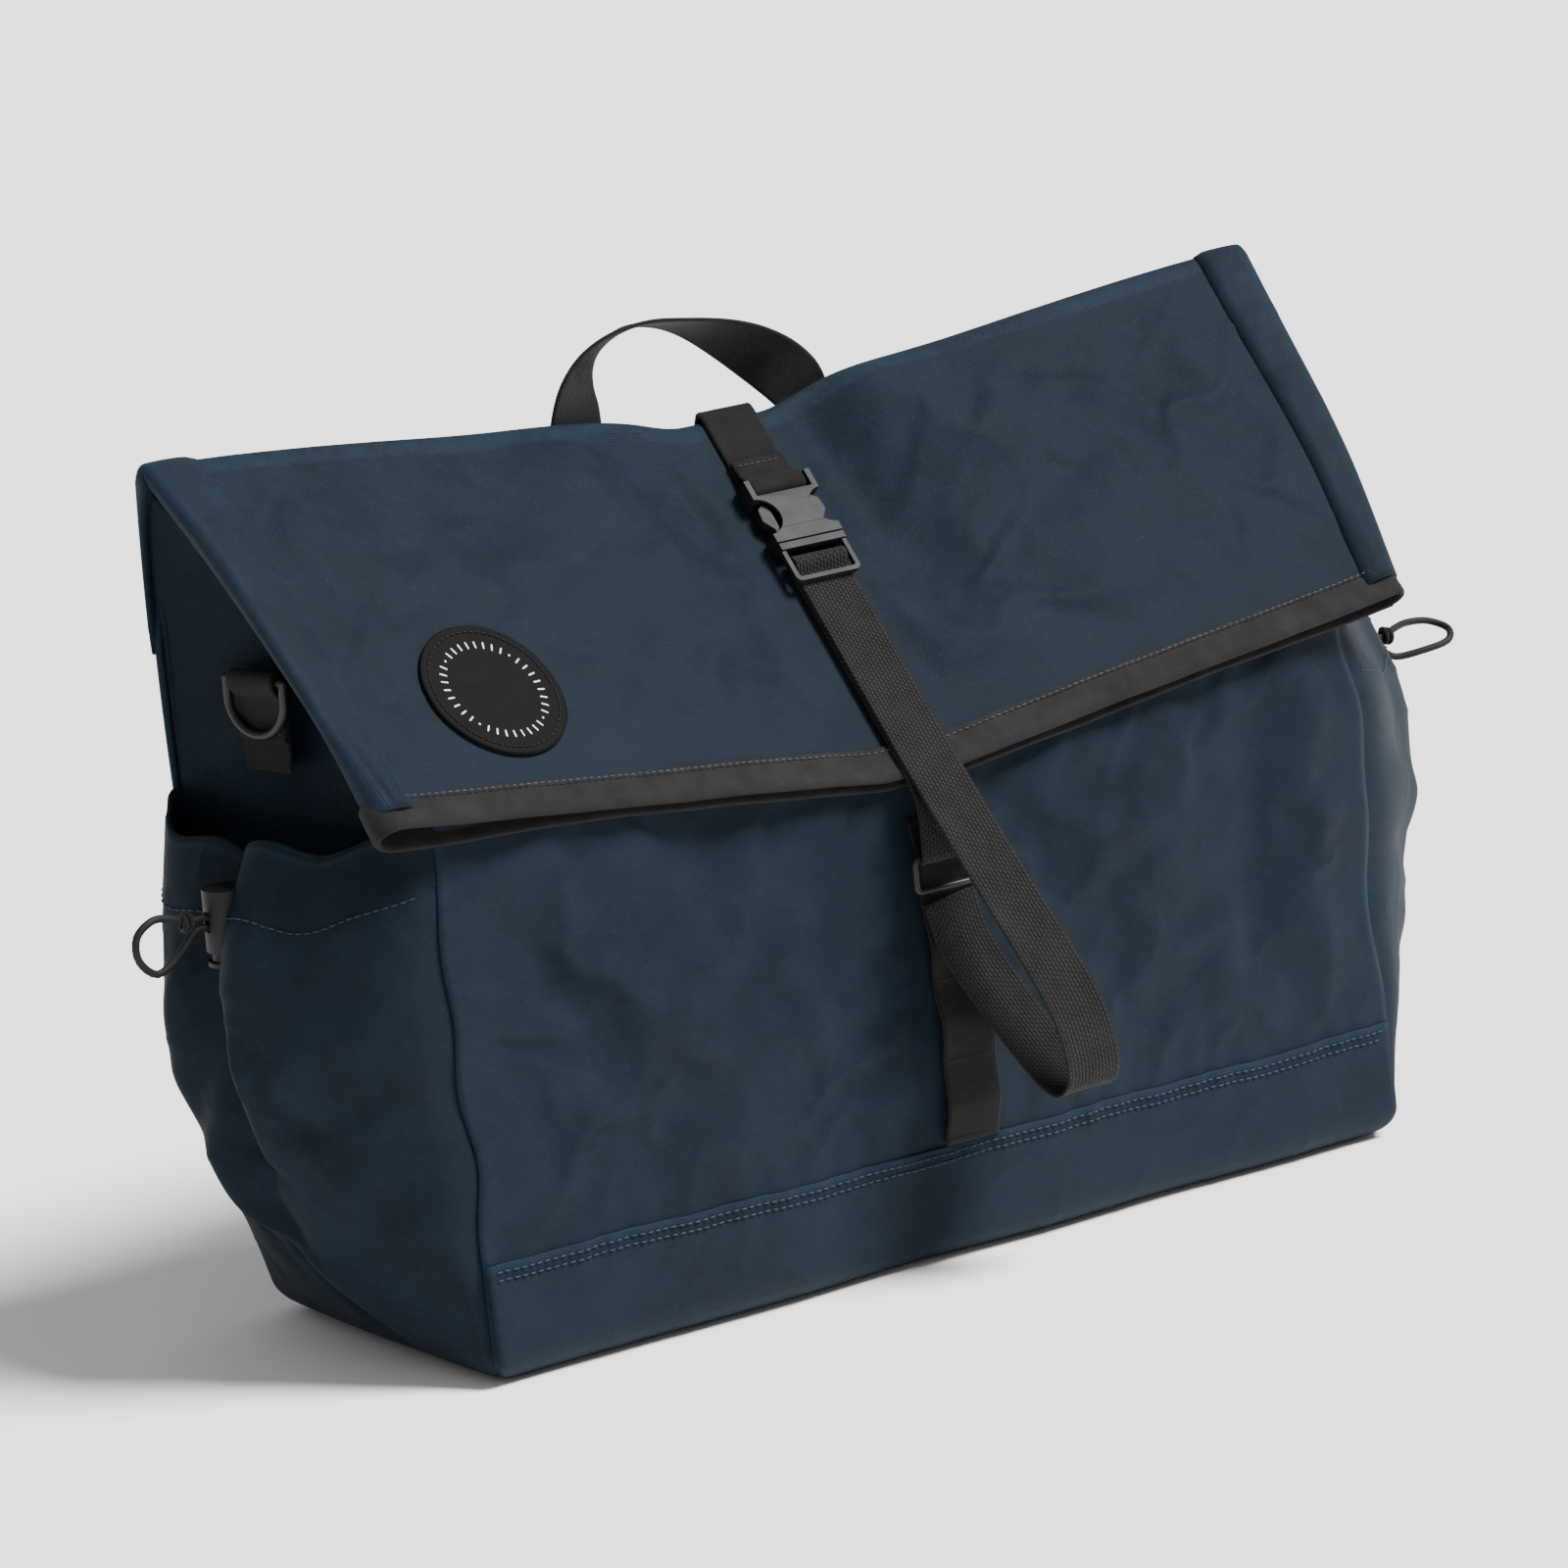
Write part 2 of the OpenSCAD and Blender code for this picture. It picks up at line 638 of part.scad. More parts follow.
// The adjuster is one strip: from its sewn end at the hook, down round the slack loop, up into the
// ladder lock, over the middle bar, back under itself down the slope and round the hook.
slack_route = [
    [strap_x, -75.6, 146], [strap_x + 3, -80, 128], [strap_x + 10, -90, 108],
    [strap_x + 17, -101, 90], [strap_x + 22, -111, 77], [strap_x + 25, -119, 72],
    [strap_x + 26, -126, 76], [strap_x + 25, -128, 88], [strap_x + 21, -126, 106],
    [strap_x + 14, -118, 128], [strap_x + 7, -105, 152], [strap_x + 2, -90, 175]
];
hook_y = -75;
hook_z = 163;
hook_wire = 2.6;

module adjuster_strap() {
    r = bar_d / 2 + web_t / 2 + 0.35;
    h_b = buckle_mid + 0.8;
    hook_r = hook_wire / 2 + web_t / 2 + 0.3;
    line = concat(
        smooth(slack_route, 3),
        [for (s = [slope_len - 8, slope_len - 30, 130, bar_c_s + 12, bar_c_s + 3])
            slope_point(s, tail_h + 0.1)],
        [slope_point(bar_c_s - 1.5, tail_h + 0.3)],
        [for (a = [-15:30:165]) slope_point(bar_b_s + r * cos(a), h_b + r * sin(a))],
        [slope_point(bar_b_s - 2.8, h_b - 2), slope_point(bar_b_s - 0.4, load_h + 0.5)],
        [for (s = [bar_b_s + 4, bar_c_s + 10, 130, slope_len - 30, slope_len - 8, slope_len - 1])
            slope_point(s, load_h)],
        [[strap_x, hook_y - 0.4, 186], [strap_x, hook_y - 2, 178], [strap_x, hook_y - hook_r, 169]],
        [for (a = [180:30:330]) [strap_x, hook_y + hook_r * cos(a), hook_z + hook_r * sin(a)]]
    );
    color(web_black) webbing(line, flat_across(line));
}

// A closed wire frame with round corners: the load ribbon turns round its top bar.
module strap_hook() {
    half = web_w / 2 + 2.2;
    frame_h = 13;
    bend = 2.4;
    color(steel) translate([strap_x, hook_y, hook_z]) rotate([-2.6, 0, 0]) {
        for (z = [0, -frame_h]) translate([bend - half, 0, z]) rotate([0, 90, 0])
            cylinder(h = 2 * (half - bend), d = hook_wire, $fn = 32);
        for (x = [-half, half]) translate([x, 0, bend - frame_h])
            cylinder(h = frame_h - 2 * bend, d = hook_wire, $fn = 32);
        for (turn = [0, 180], side = [0, 1]) translate([0, 0, -frame_h / 2]) rotate([0, turn, 0])
            mirror([side, 0, 0]) translate([half - bend, 0, frame_h / 2 - bend]) intersection() {
                rotate([90, 0, 0]) rotate_extrude($fn = 64) translate([bend, 0])
                    circle(d = hook_wire, $fn = 32);
                translate([0, -5, 0]) cube([10, 10, 10]);
            }
    }
}

// Tape sewn down the front, standing off between its bartacks as hooking loops.
module daisy_tape() {
    loop_pitch = 32;
    low = band_h + 1;
    steps = 48;
    line = [for (i = [0:steps]) let (z = mix(low, daisy_top, i / steps))
        [strap_x + 2, front_y(z) - front_swell(0, z, front_top(0)) - 0.5 - web_t / 2
            - 1.6 * pow(sin(180 * (z - low) / loop_pitch), 2), z]];
    color(web_black) webbing(line, flat_across(line));
}

// ---- Grab handle ----

handle_z = 314;
handle_half = 54;

module handle_anchors() {
    line = [for (z = [handle_z - 34, handle_z - 18, handle_z - 2.2])
        [0, back_y(z) + 0.3 + web_t / 2, z]];
    color(web_black) for (side = [-1, 1]) translate([handle_x + side * handle_half, 0, 0])
        webbing(line, flat_across(line));
}

// The handle stands up from its anchors and twists edge-on as it crosses the top.
handle_pivot_y = back_y(handle_z) + 3.4;
handle_route = [
    [-handle_half, 0, 1], [-53, 0.3, 12], [-50, 1.2, 24], [-43, 2.6, 34], [-32, 3.6, 41],
    [-18, 4.2, 44], [-3, 4.2, 42], [12, 3.8, 37], [27, 3, 29], [41, 1.6, 19], [51, 0.4, 9],
    [handle_half, 0, 1]
];

module grab_handle() {
    line = [for (p = smooth(handle_route, 3)) p + [handle_x, handle_pivot_y, handle_z]];
    last = len(line) - 1;
    across = [for (i = [0:last])
        let (twist = 78 * pow(sin(180 * i / last), 2), flat = unit(cross(heading(line, i), [0, -1, 0])))
        flat * cos(twist) + [0, 1, 0] * sin(twist)];
    color(web_black) webbing(line, across);
}

base_panel();
front_panel();
back_panel();
left_gusset();
right_side() left_gusset();  // right_gusset
front_band();
base_board();
back_pad();
inner_sleeve();
front_lining();
left_pocket();
right_side() left_pocket();  // right_pocket
left_pocket_hem();
right_side() left_pocket_hem();  // right_pocket_hem
left_hem_elastic();
right_side() left_hem_elastic();  // right_hem_elastic
left_cord();
right_cord();
left_cord_knot();
right_side() left_cord_knot();  // right_cord_knot
left_lock_barrel();
right_side() left_lock_barrel();  // right_lock_barrel
left_lock_plunger();
right_side() left_lock_plunger();  // right_lock_plunger
left_lock_spring();
right_side() left_lock_spring();  // right_lock_spring
left_ring_tab();
right_side() left_ring_tab();  // right_ring_tab
left_d_ring();
right_side() left_d_ring();  // right_d_ring
flap_outer();
flap_inner();
flap_left_edge();
right_side() flap_left_edge();  // flap_right_edge
outer_binding();
inner_binding();
left_binding();
right_side() left_binding();  // right_binding
round_patch();
top_strap();
buckle_female();
buckle_male();
left_prong();
right_prong();
adjuster_strap();
strap_hook();
daisy_tape();
strap_anchor();
handle_anchors();
grab_handle();
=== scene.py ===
"""Looks of the fold-top messenger bag: waxed cloth, webbing, cords and hardware on the CAD frame.

Lengths are in millimetres, as in part.scad, until new_piece() and its kin write them out in metres.
"""

import math

import bpy
import numpy as np
from mathutils import Matrix, Vector


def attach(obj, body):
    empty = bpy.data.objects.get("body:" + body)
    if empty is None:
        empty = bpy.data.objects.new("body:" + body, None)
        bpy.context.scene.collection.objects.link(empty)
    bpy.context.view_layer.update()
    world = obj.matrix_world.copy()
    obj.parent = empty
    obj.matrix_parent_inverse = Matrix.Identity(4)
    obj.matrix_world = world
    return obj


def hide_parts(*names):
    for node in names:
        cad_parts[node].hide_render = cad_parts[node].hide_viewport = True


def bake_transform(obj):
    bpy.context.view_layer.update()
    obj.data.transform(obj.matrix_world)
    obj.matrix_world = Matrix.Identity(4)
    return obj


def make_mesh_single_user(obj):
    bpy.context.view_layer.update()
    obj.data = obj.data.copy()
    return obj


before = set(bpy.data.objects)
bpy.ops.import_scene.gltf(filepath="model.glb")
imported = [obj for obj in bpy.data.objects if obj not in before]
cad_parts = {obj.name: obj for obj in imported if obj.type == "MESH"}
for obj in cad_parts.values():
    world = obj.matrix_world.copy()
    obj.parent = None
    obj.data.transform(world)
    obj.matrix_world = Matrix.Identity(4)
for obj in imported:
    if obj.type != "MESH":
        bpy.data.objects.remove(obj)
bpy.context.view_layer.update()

MM = 0.001

# ---- Dimensions shared with part.scad ----

BASE_W, BASE_D, TOP_W, FOLD_H = 432, 150, 520, 347
CLOTH, BELLY, POCKET_SWELL = 1.4, 6, 46
FLAP_W, FLAP_H, FOLD_DIP, STRAP_DIP, EDGE_DIP, FLAP_SWELL = 476, 223, 18, 9, 29, 5
BINDING_W, WEB_W, WEB_T, BUCKLE_S = 15, 25, 1.6, 42.5
POCKET_H, HEM_H, CORD_D = 205, 27, 3
STRAP_X, HANDLE_X = 3, -9
FRONT_LEAN, BACK_LEAN, BAND_H = 0.07, 0.05, 47
STRIP_FOLD, STRIP_EDGE, STRAP_FLAT = 20, 12, 17
FOLD_Y, EDGE_Y = BASE_D / 2 - BACK_LEAN * FOLD_H, -68
PATCH_R, PATCH_X, PATCH_V = 28.5, -168, 0.3
SEWN = 0.9  # webbing that is sewn on stands this far off the cloth
DAISY_TOP = 176
LOCK_X, LOCK_Y, LOCK_Z, STRAND = -269, 6, 180, 2
RING_X, RING_Y, RING_Z, RING_TURN = -238.4, 22, 263, 16
TUCK_Z = 190
SEAM_FOLD, SEAM_EDGE = TOP_W / 2 - STRIP_FOLD, FLAP_W / 2 - STRIP_EDGE
KNOT_X = LOCK_X - 17


def mix(a, b, t):
    return a + (b - a) * t


def smooth(t):
    t = np.clip(t, 0, 1)
    return t * t * (3 - 2 * t)


def bell(x, centre, width):
    return np.exp(-(((x - centre) / width) ** 2))


def front_y(z):
    return -BASE_D / 2 + FRONT_LEAN * z


def back_y(z):
    return BASE_D / 2 - BACK_LEAN * z


def back_half(z):
    return mix(BASE_W / 2 + 6, TOP_W / 2, 1 - (1 - z / FOLD_H) ** 2)


def off_strap(x):
    return np.maximum(0, np.abs(x) - STRAP_FLAT)


def fold_z(x):
    wave = FOLD_DIP / 2 * (1 + np.cos(2 * np.pi * off_strap(x) / TOP_W))
    return FOLD_H - wave - STRAP_DIP * bell(off_strap(x), 0, 25)


def edge_z(x):
    return FLAP_H - EDGE_DIP * (1 - 2 * off_strap(x) / FLAP_W)


SLOPE = math.atan2(fold_z(0) - edge_z(0), FOLD_Y - EDGE_Y)
SLOPE_LEN = math.hypot(FOLD_Y - EDGE_Y, fold_z(0) - edge_z(0))
OUT = np.array([0, -math.sin(SLOPE), math.cos(SLOPE)])
DOWN = np.array([0, -math.cos(SLOPE), -math.sin(SLOPE)])
BINDING_V = BINDING_W / SLOPE_LEN


def stack(x, y, z):
    return np.stack(np.broadcast_arrays(x, y, z), axis=-1).astype(float)


def slope_point(s, h, x=STRAP_X):
    """On the middle line of the flap, s below the fold and h above its face."""
    return np.array([x, FOLD_Y, float(fold_z(0))]) + DOWN * s + OUT * h


# ---- Random but repeatable undulation ----


def field(seed, wavelength, waves=9):
    """A smooth random height, about -1 to 1, as a function of two coordinates."""
    r = np.random.default_rng(seed)
    angle, phase = r.uniform(0, np.pi, waves), r.uniform(0, 2 * np.pi, waves)
    size = 2 * np.pi / (wavelength * r.uniform(0.7, 1.5, waves))

    def height(a, b):
        total = 0
        for t, p, k in zip(angle, phase, size):
            total = total + np.cos((a * np.cos(t) + b * np.sin(t)) * k + p)
        return total / math.sqrt(waves)

    return height


def creases(seed, wavelength, sharp=6):
    """Narrow ridges, 0 to 1, that wander and meet as cloth creases do."""
    height = field(seed, wavelength)
    return lambda a, b: np.clip(1 - np.abs(height(a, b)), 0, 1) ** sharp


def ridge(a, b, start, end, width, height):
    """A long soft fold from start to end, in the surface's own two coordinates."""
    d = np.array(end, float) - start
    length = np.hypot(*d)
    d = d / length
    along = (a - start[0]) * d[0] + (b - start[1]) * d[1]
    across = (a - start[0]) * -d[1] + (b - start[1]) * d[0]
    ends = smooth(along / (0.3 * length)) * smooth((length - along) / (0.3 * length))
    return height * ends * np.exp(-((across / width) ** 2))


def ridges(a, b, folds, start=0):
    """Sum of the folds in a list. Each gives its start, its end, its width and its height."""
    return sum((ridge(a, b, *fold) for fold in folds), start)


# ---- Surfaces of the bag ----

flap_wave, flap_crease = field(3, 120), creases(5, 70)
front_wave, front_crease = field(11, 130), creases(12, 60)
side_wave, side_crease = field(21, 70), creases(22, 45)
back_wave, back_crease = field(31, 140), creases(32, 75)


FLAP_FOLDS = [
    ((-112, 4), (-26, 100), 19, 4.6), ((-66, -14), (-26, 84), 19, -7.0),
    ((24, -10), (60, 130), 18, -6.2), ((46, -10), (124, 66), 20, 5.2),
    ((95, 20), (230, 150), 28, 2.2), ((150, -10), (215, 120), 20, -2.0),
    ((-235, 20), (-120, 110), 26, 1.8), ((-215, -5), (-175, 80), 16, -1.8),
    ((30, 120), (110, 172), 14, 1.6), ((-95, 170), (-30, 118), 14, 1.4),
]
FRONT_FOLDS = [
    ((150, 50), (172, 235), 13, -4.6), ((186, 40), (196, 220), 10, 3.2),
    ((-190, 200), (-98, 96), 17, 3.4), ((-214, 190), (-128, 92), 15, -3.6),
    ((-222, 132), (-160, 118), 5, -2.6), ((-225, 118), (-140, 92), 9, 2.4),
    ((-120, 215), (-20, 140), 16, -2.2), ((60, 215), (130, 110), 22, 2.6),
    ((20, 195), (80, 120), 14, -1.8), ((-205, 120), (-120, 60), 16, -1.8),
    ((-60, 60), (40, 95), 18, 1.6), ((90, 50), (160, 90), 14, 1.4),
]
GUSSET_FOLDS = [((60, 190), (38, 330), 12, -4), ((96, 180), (62, 300), 10, 3)]
BACK_FOLDS = [
    ((-150, 300), (-60, 200), 26, 2.4), ((40, 310), (150, 210), 30, 2.2),
    ((-200, 60), (-80, 110), 24, -2.0), ((90, 60), (190, 120), 24, -2.2),
]


def flap_relief(x, s):
    """How far the flap's cloth stands off its plain shape, x across and s down from the fold."""
    clear = 1 - bell(off_strap(x), 0, 12)
    s = np.minimum(s, SLOPE_LEN - 20)
    fine = 1.2 * flap_wave(x, s) + 0.5 * flap_crease(x, s)
    edge = 1 - 0.55 * smooth((s - SLOPE_LEN + 60) / 40)
    return clear * edge * (ridges(x, s, FLAP_FOLDS) + fine) * smooth(s / 14)


def flap_gap(v, x):
    """Distance from the flap's upper layer to its lower one. The mouth gapes at its ends."""
    ends = smooth((np.abs(x) - 130) / 105)
    open_by = np.where(x < 0, 9.5, 3.0) * ends * smooth((0.35 - v) / 0.35) ** 1.5
    return 3.0 + open_by


def flap_plain(x_edge, x_fold, v, lift):
    low = stack(x_edge, EDGE_Y, edge_z(x_edge))
    high = stack(x_fold, FOLD_Y, fold_z(x_fold))
    swell = FLAP_SWELL * np.sin(np.pi * v) * (1 - bell(off_strap(x_edge), 0, 60))
    return mix(low, high, np.asarray(v)[..., None]) + OUT * (lift + swell)[..., None]


def flap_face(across, v, lift=0.0):
    """Upper face of the flap between its side seams: across is -1 to 1, v is 0 at the lower edge."""
    across, v = np.broadcast_arrays(np.asarray(across, float), np.asarray(v, float))
    x = across * mix(SEAM_EDGE, SEAM_FOLD, v)
    s = (1 - v) * SLOPE_LEN
    return flap_plain(across * SEAM_EDGE, across * SEAM_FOLD, v, lift + flap_relief(x, s))


def front_swell(x, z):
    top = edge_z(x) - 4
    return BELLY * np.sin(np.pi * np.clip(z / top, 0, 1)) * (1 - (2 * x / BASE_W) ** 2)


def front_relief(x, z):
    edge = smooth((BASE_W / 2 - np.abs(x)) / 40)
    fine = 1.1 * front_wave(x, z) + 0.45 * front_crease(x, z)
    pucker = 0.45 * np.sin(x / 2.9 + 1.8 * front_wave(x * 2, 0 * z)) * bell(z, BAND_H + 1, 9)
    return edge * (ridges(x, z, FRONT_FOLDS) + fine) + pucker


def round_in(distance, radius):
    """How far a face has turned in at a distance from its edge, for a rounded edge of that radius."""
    t = np.clip(1 - distance / radius, 0, 1)
    return radius * (1 - np.sqrt(1 - np.minimum(t, 0.985) ** 2))


CORNER_R, FOOT_R = 5, 13


def sway(z):
    """How far the front corners wander from a straight edge: outward, and towards the back."""
    fade = smooth((z - 30) / 60)
    outward = fade * (1.9 * np.sin(z / 21 + 0.5) + 1.1 * np.sin(z / 9.5 + 2))
    return outward, fade * (1.6 * np.sin(z / 16 + 1.2) + 0.9 * np.sin(z / 7.7))


def front_face(x, z, lift=0.0):
    """Outer face of the front, from seam to seam."""
    x, z = np.broadcast_arrays(np.asarray(x, float), np.asarray(z, float))
    y = front_y(z) - front_swell(x, z) - front_relief(x, z) - lift
    y = y + round_in(BASE_W / 2 + 2 - np.abs(x), CORNER_R) + round_in(z, FOOT_R)
    near, (outward, back) = smooth((np.abs(x) - 165) / 51), sway(z)
    x = x * (1 - round_in(z, FOOT_R) / (BASE_W / 2)) + np.sign(x) * near * outward
    return stack(x, y + near * back, z)


def gusset_top(u):
    return mix(FOLD_H - 13, FLAP_H - 6, u)


def side_swell(z):
    low = 18 * np.sin(np.pi * np.clip(z / TUCK_Z, 0, 1))
    high = -20 * np.sin(np.pi * np.clip((z - TUCK_Z) / (FOLD_H - TUCK_Z), 0, 1))
    return np.where(z < TUCK_Z, low, high)


def side_point(u, z, lift=0.0):
    """Outer face of the left side, u from 0 at the back seam to 1 at the front seam."""
    u, z = np.broadcast_arrays(np.asarray(u, float), np.asarray(z, float))
    arch = np.sin(np.pi * np.clip(u, 0, 1)) ** 0.6
    x = -mix(back_half(z), BASE_W / 2, u) - side_swell(z) * arch - lift
    y = mix(back_y(z) - 2 - round_in(z, FOOT_R), front_y(z) + 2 + round_in(z, FOOT_R), u)
    depth = back_y(z) - front_y(z) - 4
    x = x + round_in((1 - u) * depth + 1.2, CORNER_R) + round_in(u * depth + 1.2, CORNER_R)
    near, (outward, back) = smooth((u - 0.6) / 0.4), sway(z)
    return stack(x + round_in(z, FOOT_R) - near * outward, y + near * back, z)


def side_u(y, z):
    return (back_y(z) - 2 - y) / (back_y(z) - front_y(z) - 4)


SIDE_W = 140  # what u = 0 to 1 is worth across a side, in millimetres
LOCK_U = side_u(LOCK_Y, LOCK_Z)
LOCK_W = LOCK_U * SIDE_W
POCKET_FOLDS = [
    ((LOCK_W + 26, 196), (LOCK_W + 46, 60), 9, 4.0), ((LOCK_W + 6, 168), (LOCK_W + 50, 78), 7, -4.2),
    ((LOCK_W + 3, 150), (LOCK_W - 2, 22), 10, -5.0), ((LOCK_W - 6, 160), (LOCK_W - 38, 70), 8, -3.6),
    ((LOCK_W - 18, 170), (LOCK_W - 48, 96), 8, 3.4), ((LOCK_W + 2, 184), (LOCK_W + 30, 104), 6, 3.6),
    ((14, 130), (60, 50), 9, 3.4), ((8, 96), (58, 22), 8, -3.2),
    ((30, 76), (118, 4), 5, 3.0), ((34, 62), (112, -4), 4, -2.6),
    ((48, 62), (124, 12), 4, 2.2), ((50, 92), (94, 78), 4, -2.4),
    ((70, 40), (128, 90), 9, 2.4), ((86, 110), (132, 150), 8, 2.6),
    ((92, 96), (134, 120), 7, -2.8),
]


def gusset_face(u, z, lift=0.0):
    hidden = smooth((POCKET_H - 10 - z) / 20)
    folds = ridges(u * SIDE_W, z, GUSSET_FOLDS) + 0.8 * side_wave(u * SIDE_W, z)
    relief = (1 - hidden) * folds * np.sin(np.pi * np.clip(u, 0, 1)) ** 0.8
    return side_point(u, z, lift + relief)


def gather(u, z):
    """Share of the pocket's swell that the cord takes away. The front part bulges over the valley."""
    behind = bell(np.minimum(u - LOCK_U, 0), 0, 0.13)
    before = bell(np.maximum(u - LOCK_U - 0.035, 0), 0, 0.055)
    return 0.43 * behind * before * np.clip((z - 70) / 70, 0, 1)


def pocket_relief(u, z):
    w = u * SIDE_W
    above = smooth((z - 60) / 90)
    bulges = above * 8.5 * bell(w, LOCK_W + 19, 11) + above * 3.0 * bell(w, LOCK_W - 33, 16)
    fine = 1.0 * side_wave(w, z) + 0.9 * side_crease(w, z)
    hem = 1.1 * np.sin(w / 3.1 + 1.2 * side_wave(w * 2, z)) * bell(z, POCKET_H - HEM_H, 7)
    return (1.25 * ridges(w, z, POCKET_FOLDS, bulges) + fine + hem * 0.5) * smooth(z / 30)


def pocket_face(u, z, lift=0.0):
    arch = np.sin(np.pi * np.clip(u, 0, 1)) ** 0.6
    swell = POCKET_SWELL * np.sin(np.pi * z / 240) * (1 - gather(u, z)) - side_swell(z)
    flare = 9 * bell(u, 0.13, 0.1) * smooth((z - 120) / 80)
    room = arch * (np.maximum(0, swell) + pocket_relief(u, z) + flare)
    place = side_point(u, z, lift + 0.4 + np.maximum(0.2, room))
    place[..., 1] += 9 * bell(u, LOCK_U + 0.085, 0.055) * smooth((z - 120) / 70)
    return place


def pocket_top(u):
    ends = 13 * np.abs(2 * u - 1) ** 3
    scallop = 2.6 * np.sin(u * 22 + 0.6) * np.sin(np.pi * np.clip(u, 0, 1))
    return POCKET_H + ends + scallop - 5 * bell(u, LOCK_U, 0.12) + 4 * bell(u, LOCK_U + 0.13, 0.07)


def back_relief(x, z):
    edge = smooth((back_half(z) - np.abs(x)) / 50) * smooth(z / 25)
    low = smooth((fold_z(x) - 8 - z) / 45)
    return low * edge * (ridges(x, z, BACK_FOLDS) + 1.3 * back_wave(x, z) + 0.5 * back_crease(x, z))


def back_face(x, z, lift=0.0):
    x, z = np.broadcast_arrays(np.asarray(x, float), np.asarray(z, float))
    y = back_y(z) + lift + back_relief(x, z)
    y = y - round_in(back_half(z) + 2 - np.abs(x), CORNER_R) - round_in(z, FOOT_R)
    return stack(x * (1 - round_in(z, FOOT_R) / (BASE_W / 2)), y, z)


# ---- Mesh builders ----


def unit(v):
    return v / np.maximum(np.linalg.norm(v, axis=-1, keepdims=True), 1e-9)


def distance_along(line):
    return np.concatenate([[0], np.cumsum(np.linalg.norm(np.diff(line, axis=0), axis=1))])


def interpolate(at, run, values):
    """Points at the distances at, where values holds a point for each distance in run."""
    return np.stack([np.interp(at, run, values[:, k]) for k in range(3)], axis=1)


def put_in_scene(name, data):
    made = bpy.data.objects.new(name, data)
    bpy.context.scene.collection.objects.link(made)
    return made


def lengths(points, axis):
    """Distance along a grid's rows or columns, for a weave that keeps its size."""
    step = np.linalg.norm(np.diff(points, axis=axis), axis=-1)
    step = step.mean(axis=1 - axis)
    return np.concatenate([[0], np.cumsum(step)])


def put_vectors(mesh, name, values):
    attribute = mesh.attributes.new(name, "FLOAT_VECTOR", "POINT")
    attribute.data.foreach_set("vector", np.asarray(values, np.float32).ravel())


def put_floats(mesh, name, values):
    attribute = mesh.attributes.new(name, "FLOAT", "POINT")
    attribute.data.foreach_set("value", np.asarray(values, np.float32).ravel())


def new_piece(name, points, faces, material, weave=None, wear=None, smooth_shade=True):
    """A mesh object in metres from points in millimetres, with the attributes its material reads."""
    mesh = bpy.data.meshes.new(name)
    mesh.from_pydata((np.asarray(points) * MM).tolist(), [], [list(map(int, f)) for f in faces])
    put_vectors(mesh, "rest_mm", points)
    if weave is not None:
        put_vectors(mesh, "weave_mm", weave)
    put_floats(mesh, "wear", np.zeros(len(points)) if wear is None else wear)
    if smooth_shade:
        mesh.polygons.foreach_set("use_smooth", [True] * len(mesh.polygons))
    mesh.materials.append(material)
    return put_in_scene(name, mesh)


def grid_faces(rows, columns, around=False):
    """Quads of a grid whose outside is towards (along columns) x (along rows)."""
    last = columns if around else columns - 1
    i = np.arange(rows - 1)[:, None] * columns
    j = np.arange(last)[None, :]
    k = (j + 1) % columns
    quads = np.stack([i + j, i + k, i + columns + k, i + columns + j], axis=-1)
    return quads.reshape(-1, 4)


def cloth_sheet(name, points, material, thick=CLOTH, wear=None, flip=False):
    """A sheet of cloth from a grid of points on its outer face, given real thickness."""
    rows, columns = points.shape[:2]
    u, v = lengths(points, 1), lengths(points, 0)
    weave = stack(u[None, :], v[:, None], 0.0).reshape(-1, 3)
    faces = grid_faces(rows, columns)
    if flip:
        faces = faces[:, ::-1]
    worn = None if wear is None else np.broadcast_to(wear, (rows, columns)).ravel()
    piece = new_piece(name, points.reshape(-1, 3), faces, material, weave, worn)
    solid = piece.modifiers.new("cloth", "SOLIDIFY")
    solid.thickness = thick * MM
    solid.offset = -1
    solid.use_even_offset = False
    return piece


LIP_PAD = ((0, 0), (2, 2))
INTO_FRONT, INTO_LEFT = np.array([0.0, 1, 0]), np.array([1.0, 0, 0])


def tucked(rows, inward):
    """Adds a turned-in lip of two points to both ends of every row. inward points into the bag."""
    inward = np.broadcast_to(inward, rows[:, 0].shape)
    ends = []
    for edge, next_in in ((rows[:, 0], rows[:, 3]), (rows[:, -1], rows[:, -4])):
        across = unit(next_in - edge)
        ends.append([edge + inward * 1.3 - across * 0.1, edge + inward * 2.8 + across * 1.8])
    (a1, a2), (b1, b2) = ends
    return np.concatenate([a2[:, None], a1[:, None], rows, b1[:, None], b2[:, None]], axis=1)


def simulate(piece, held, frames, **settings):
    """Runs a piece as cloth with its held points pinned. Returns its points and how far each moved."""
    group = piece.vertex_groups.new(name="held")
    group.add([int(i) for i in held], 1.0, "REPLACE")
    before = np.array([v.co for v in piece.data.vertices])
    others = list(piece.modifiers)
    for m in others:
        m.show_viewport = False
    cloth = piece.modifiers.new("cloth_run", "CLOTH")
    cloth.settings.vertex_group_mass = "held"
    cloth.settings.effector_weights.gravity = 0
    for key, value in settings.items():
        setattr(cloth.settings, key, value)
    cloth.point_cache.frame_start, cloth.point_cache.frame_end = 1, frames
    for k in range(1, frames + 1):
        bpy.context.scene.frame_set(k)
    result = piece.evaluated_get(bpy.context.evaluated_depsgraph_get())
    after = np.array([v.co for v in result.data.vertices])
    piece.modifiers.remove(cloth)
    piece.vertex_groups.remove(group)
    for m in others:
        m.show_viewport = True
    bpy.context.scene.frame_set(1)
    if after.shape != before.shape or not np.isfinite(after).all():
        return before, np.zeros_like(before)
    return before, after - before


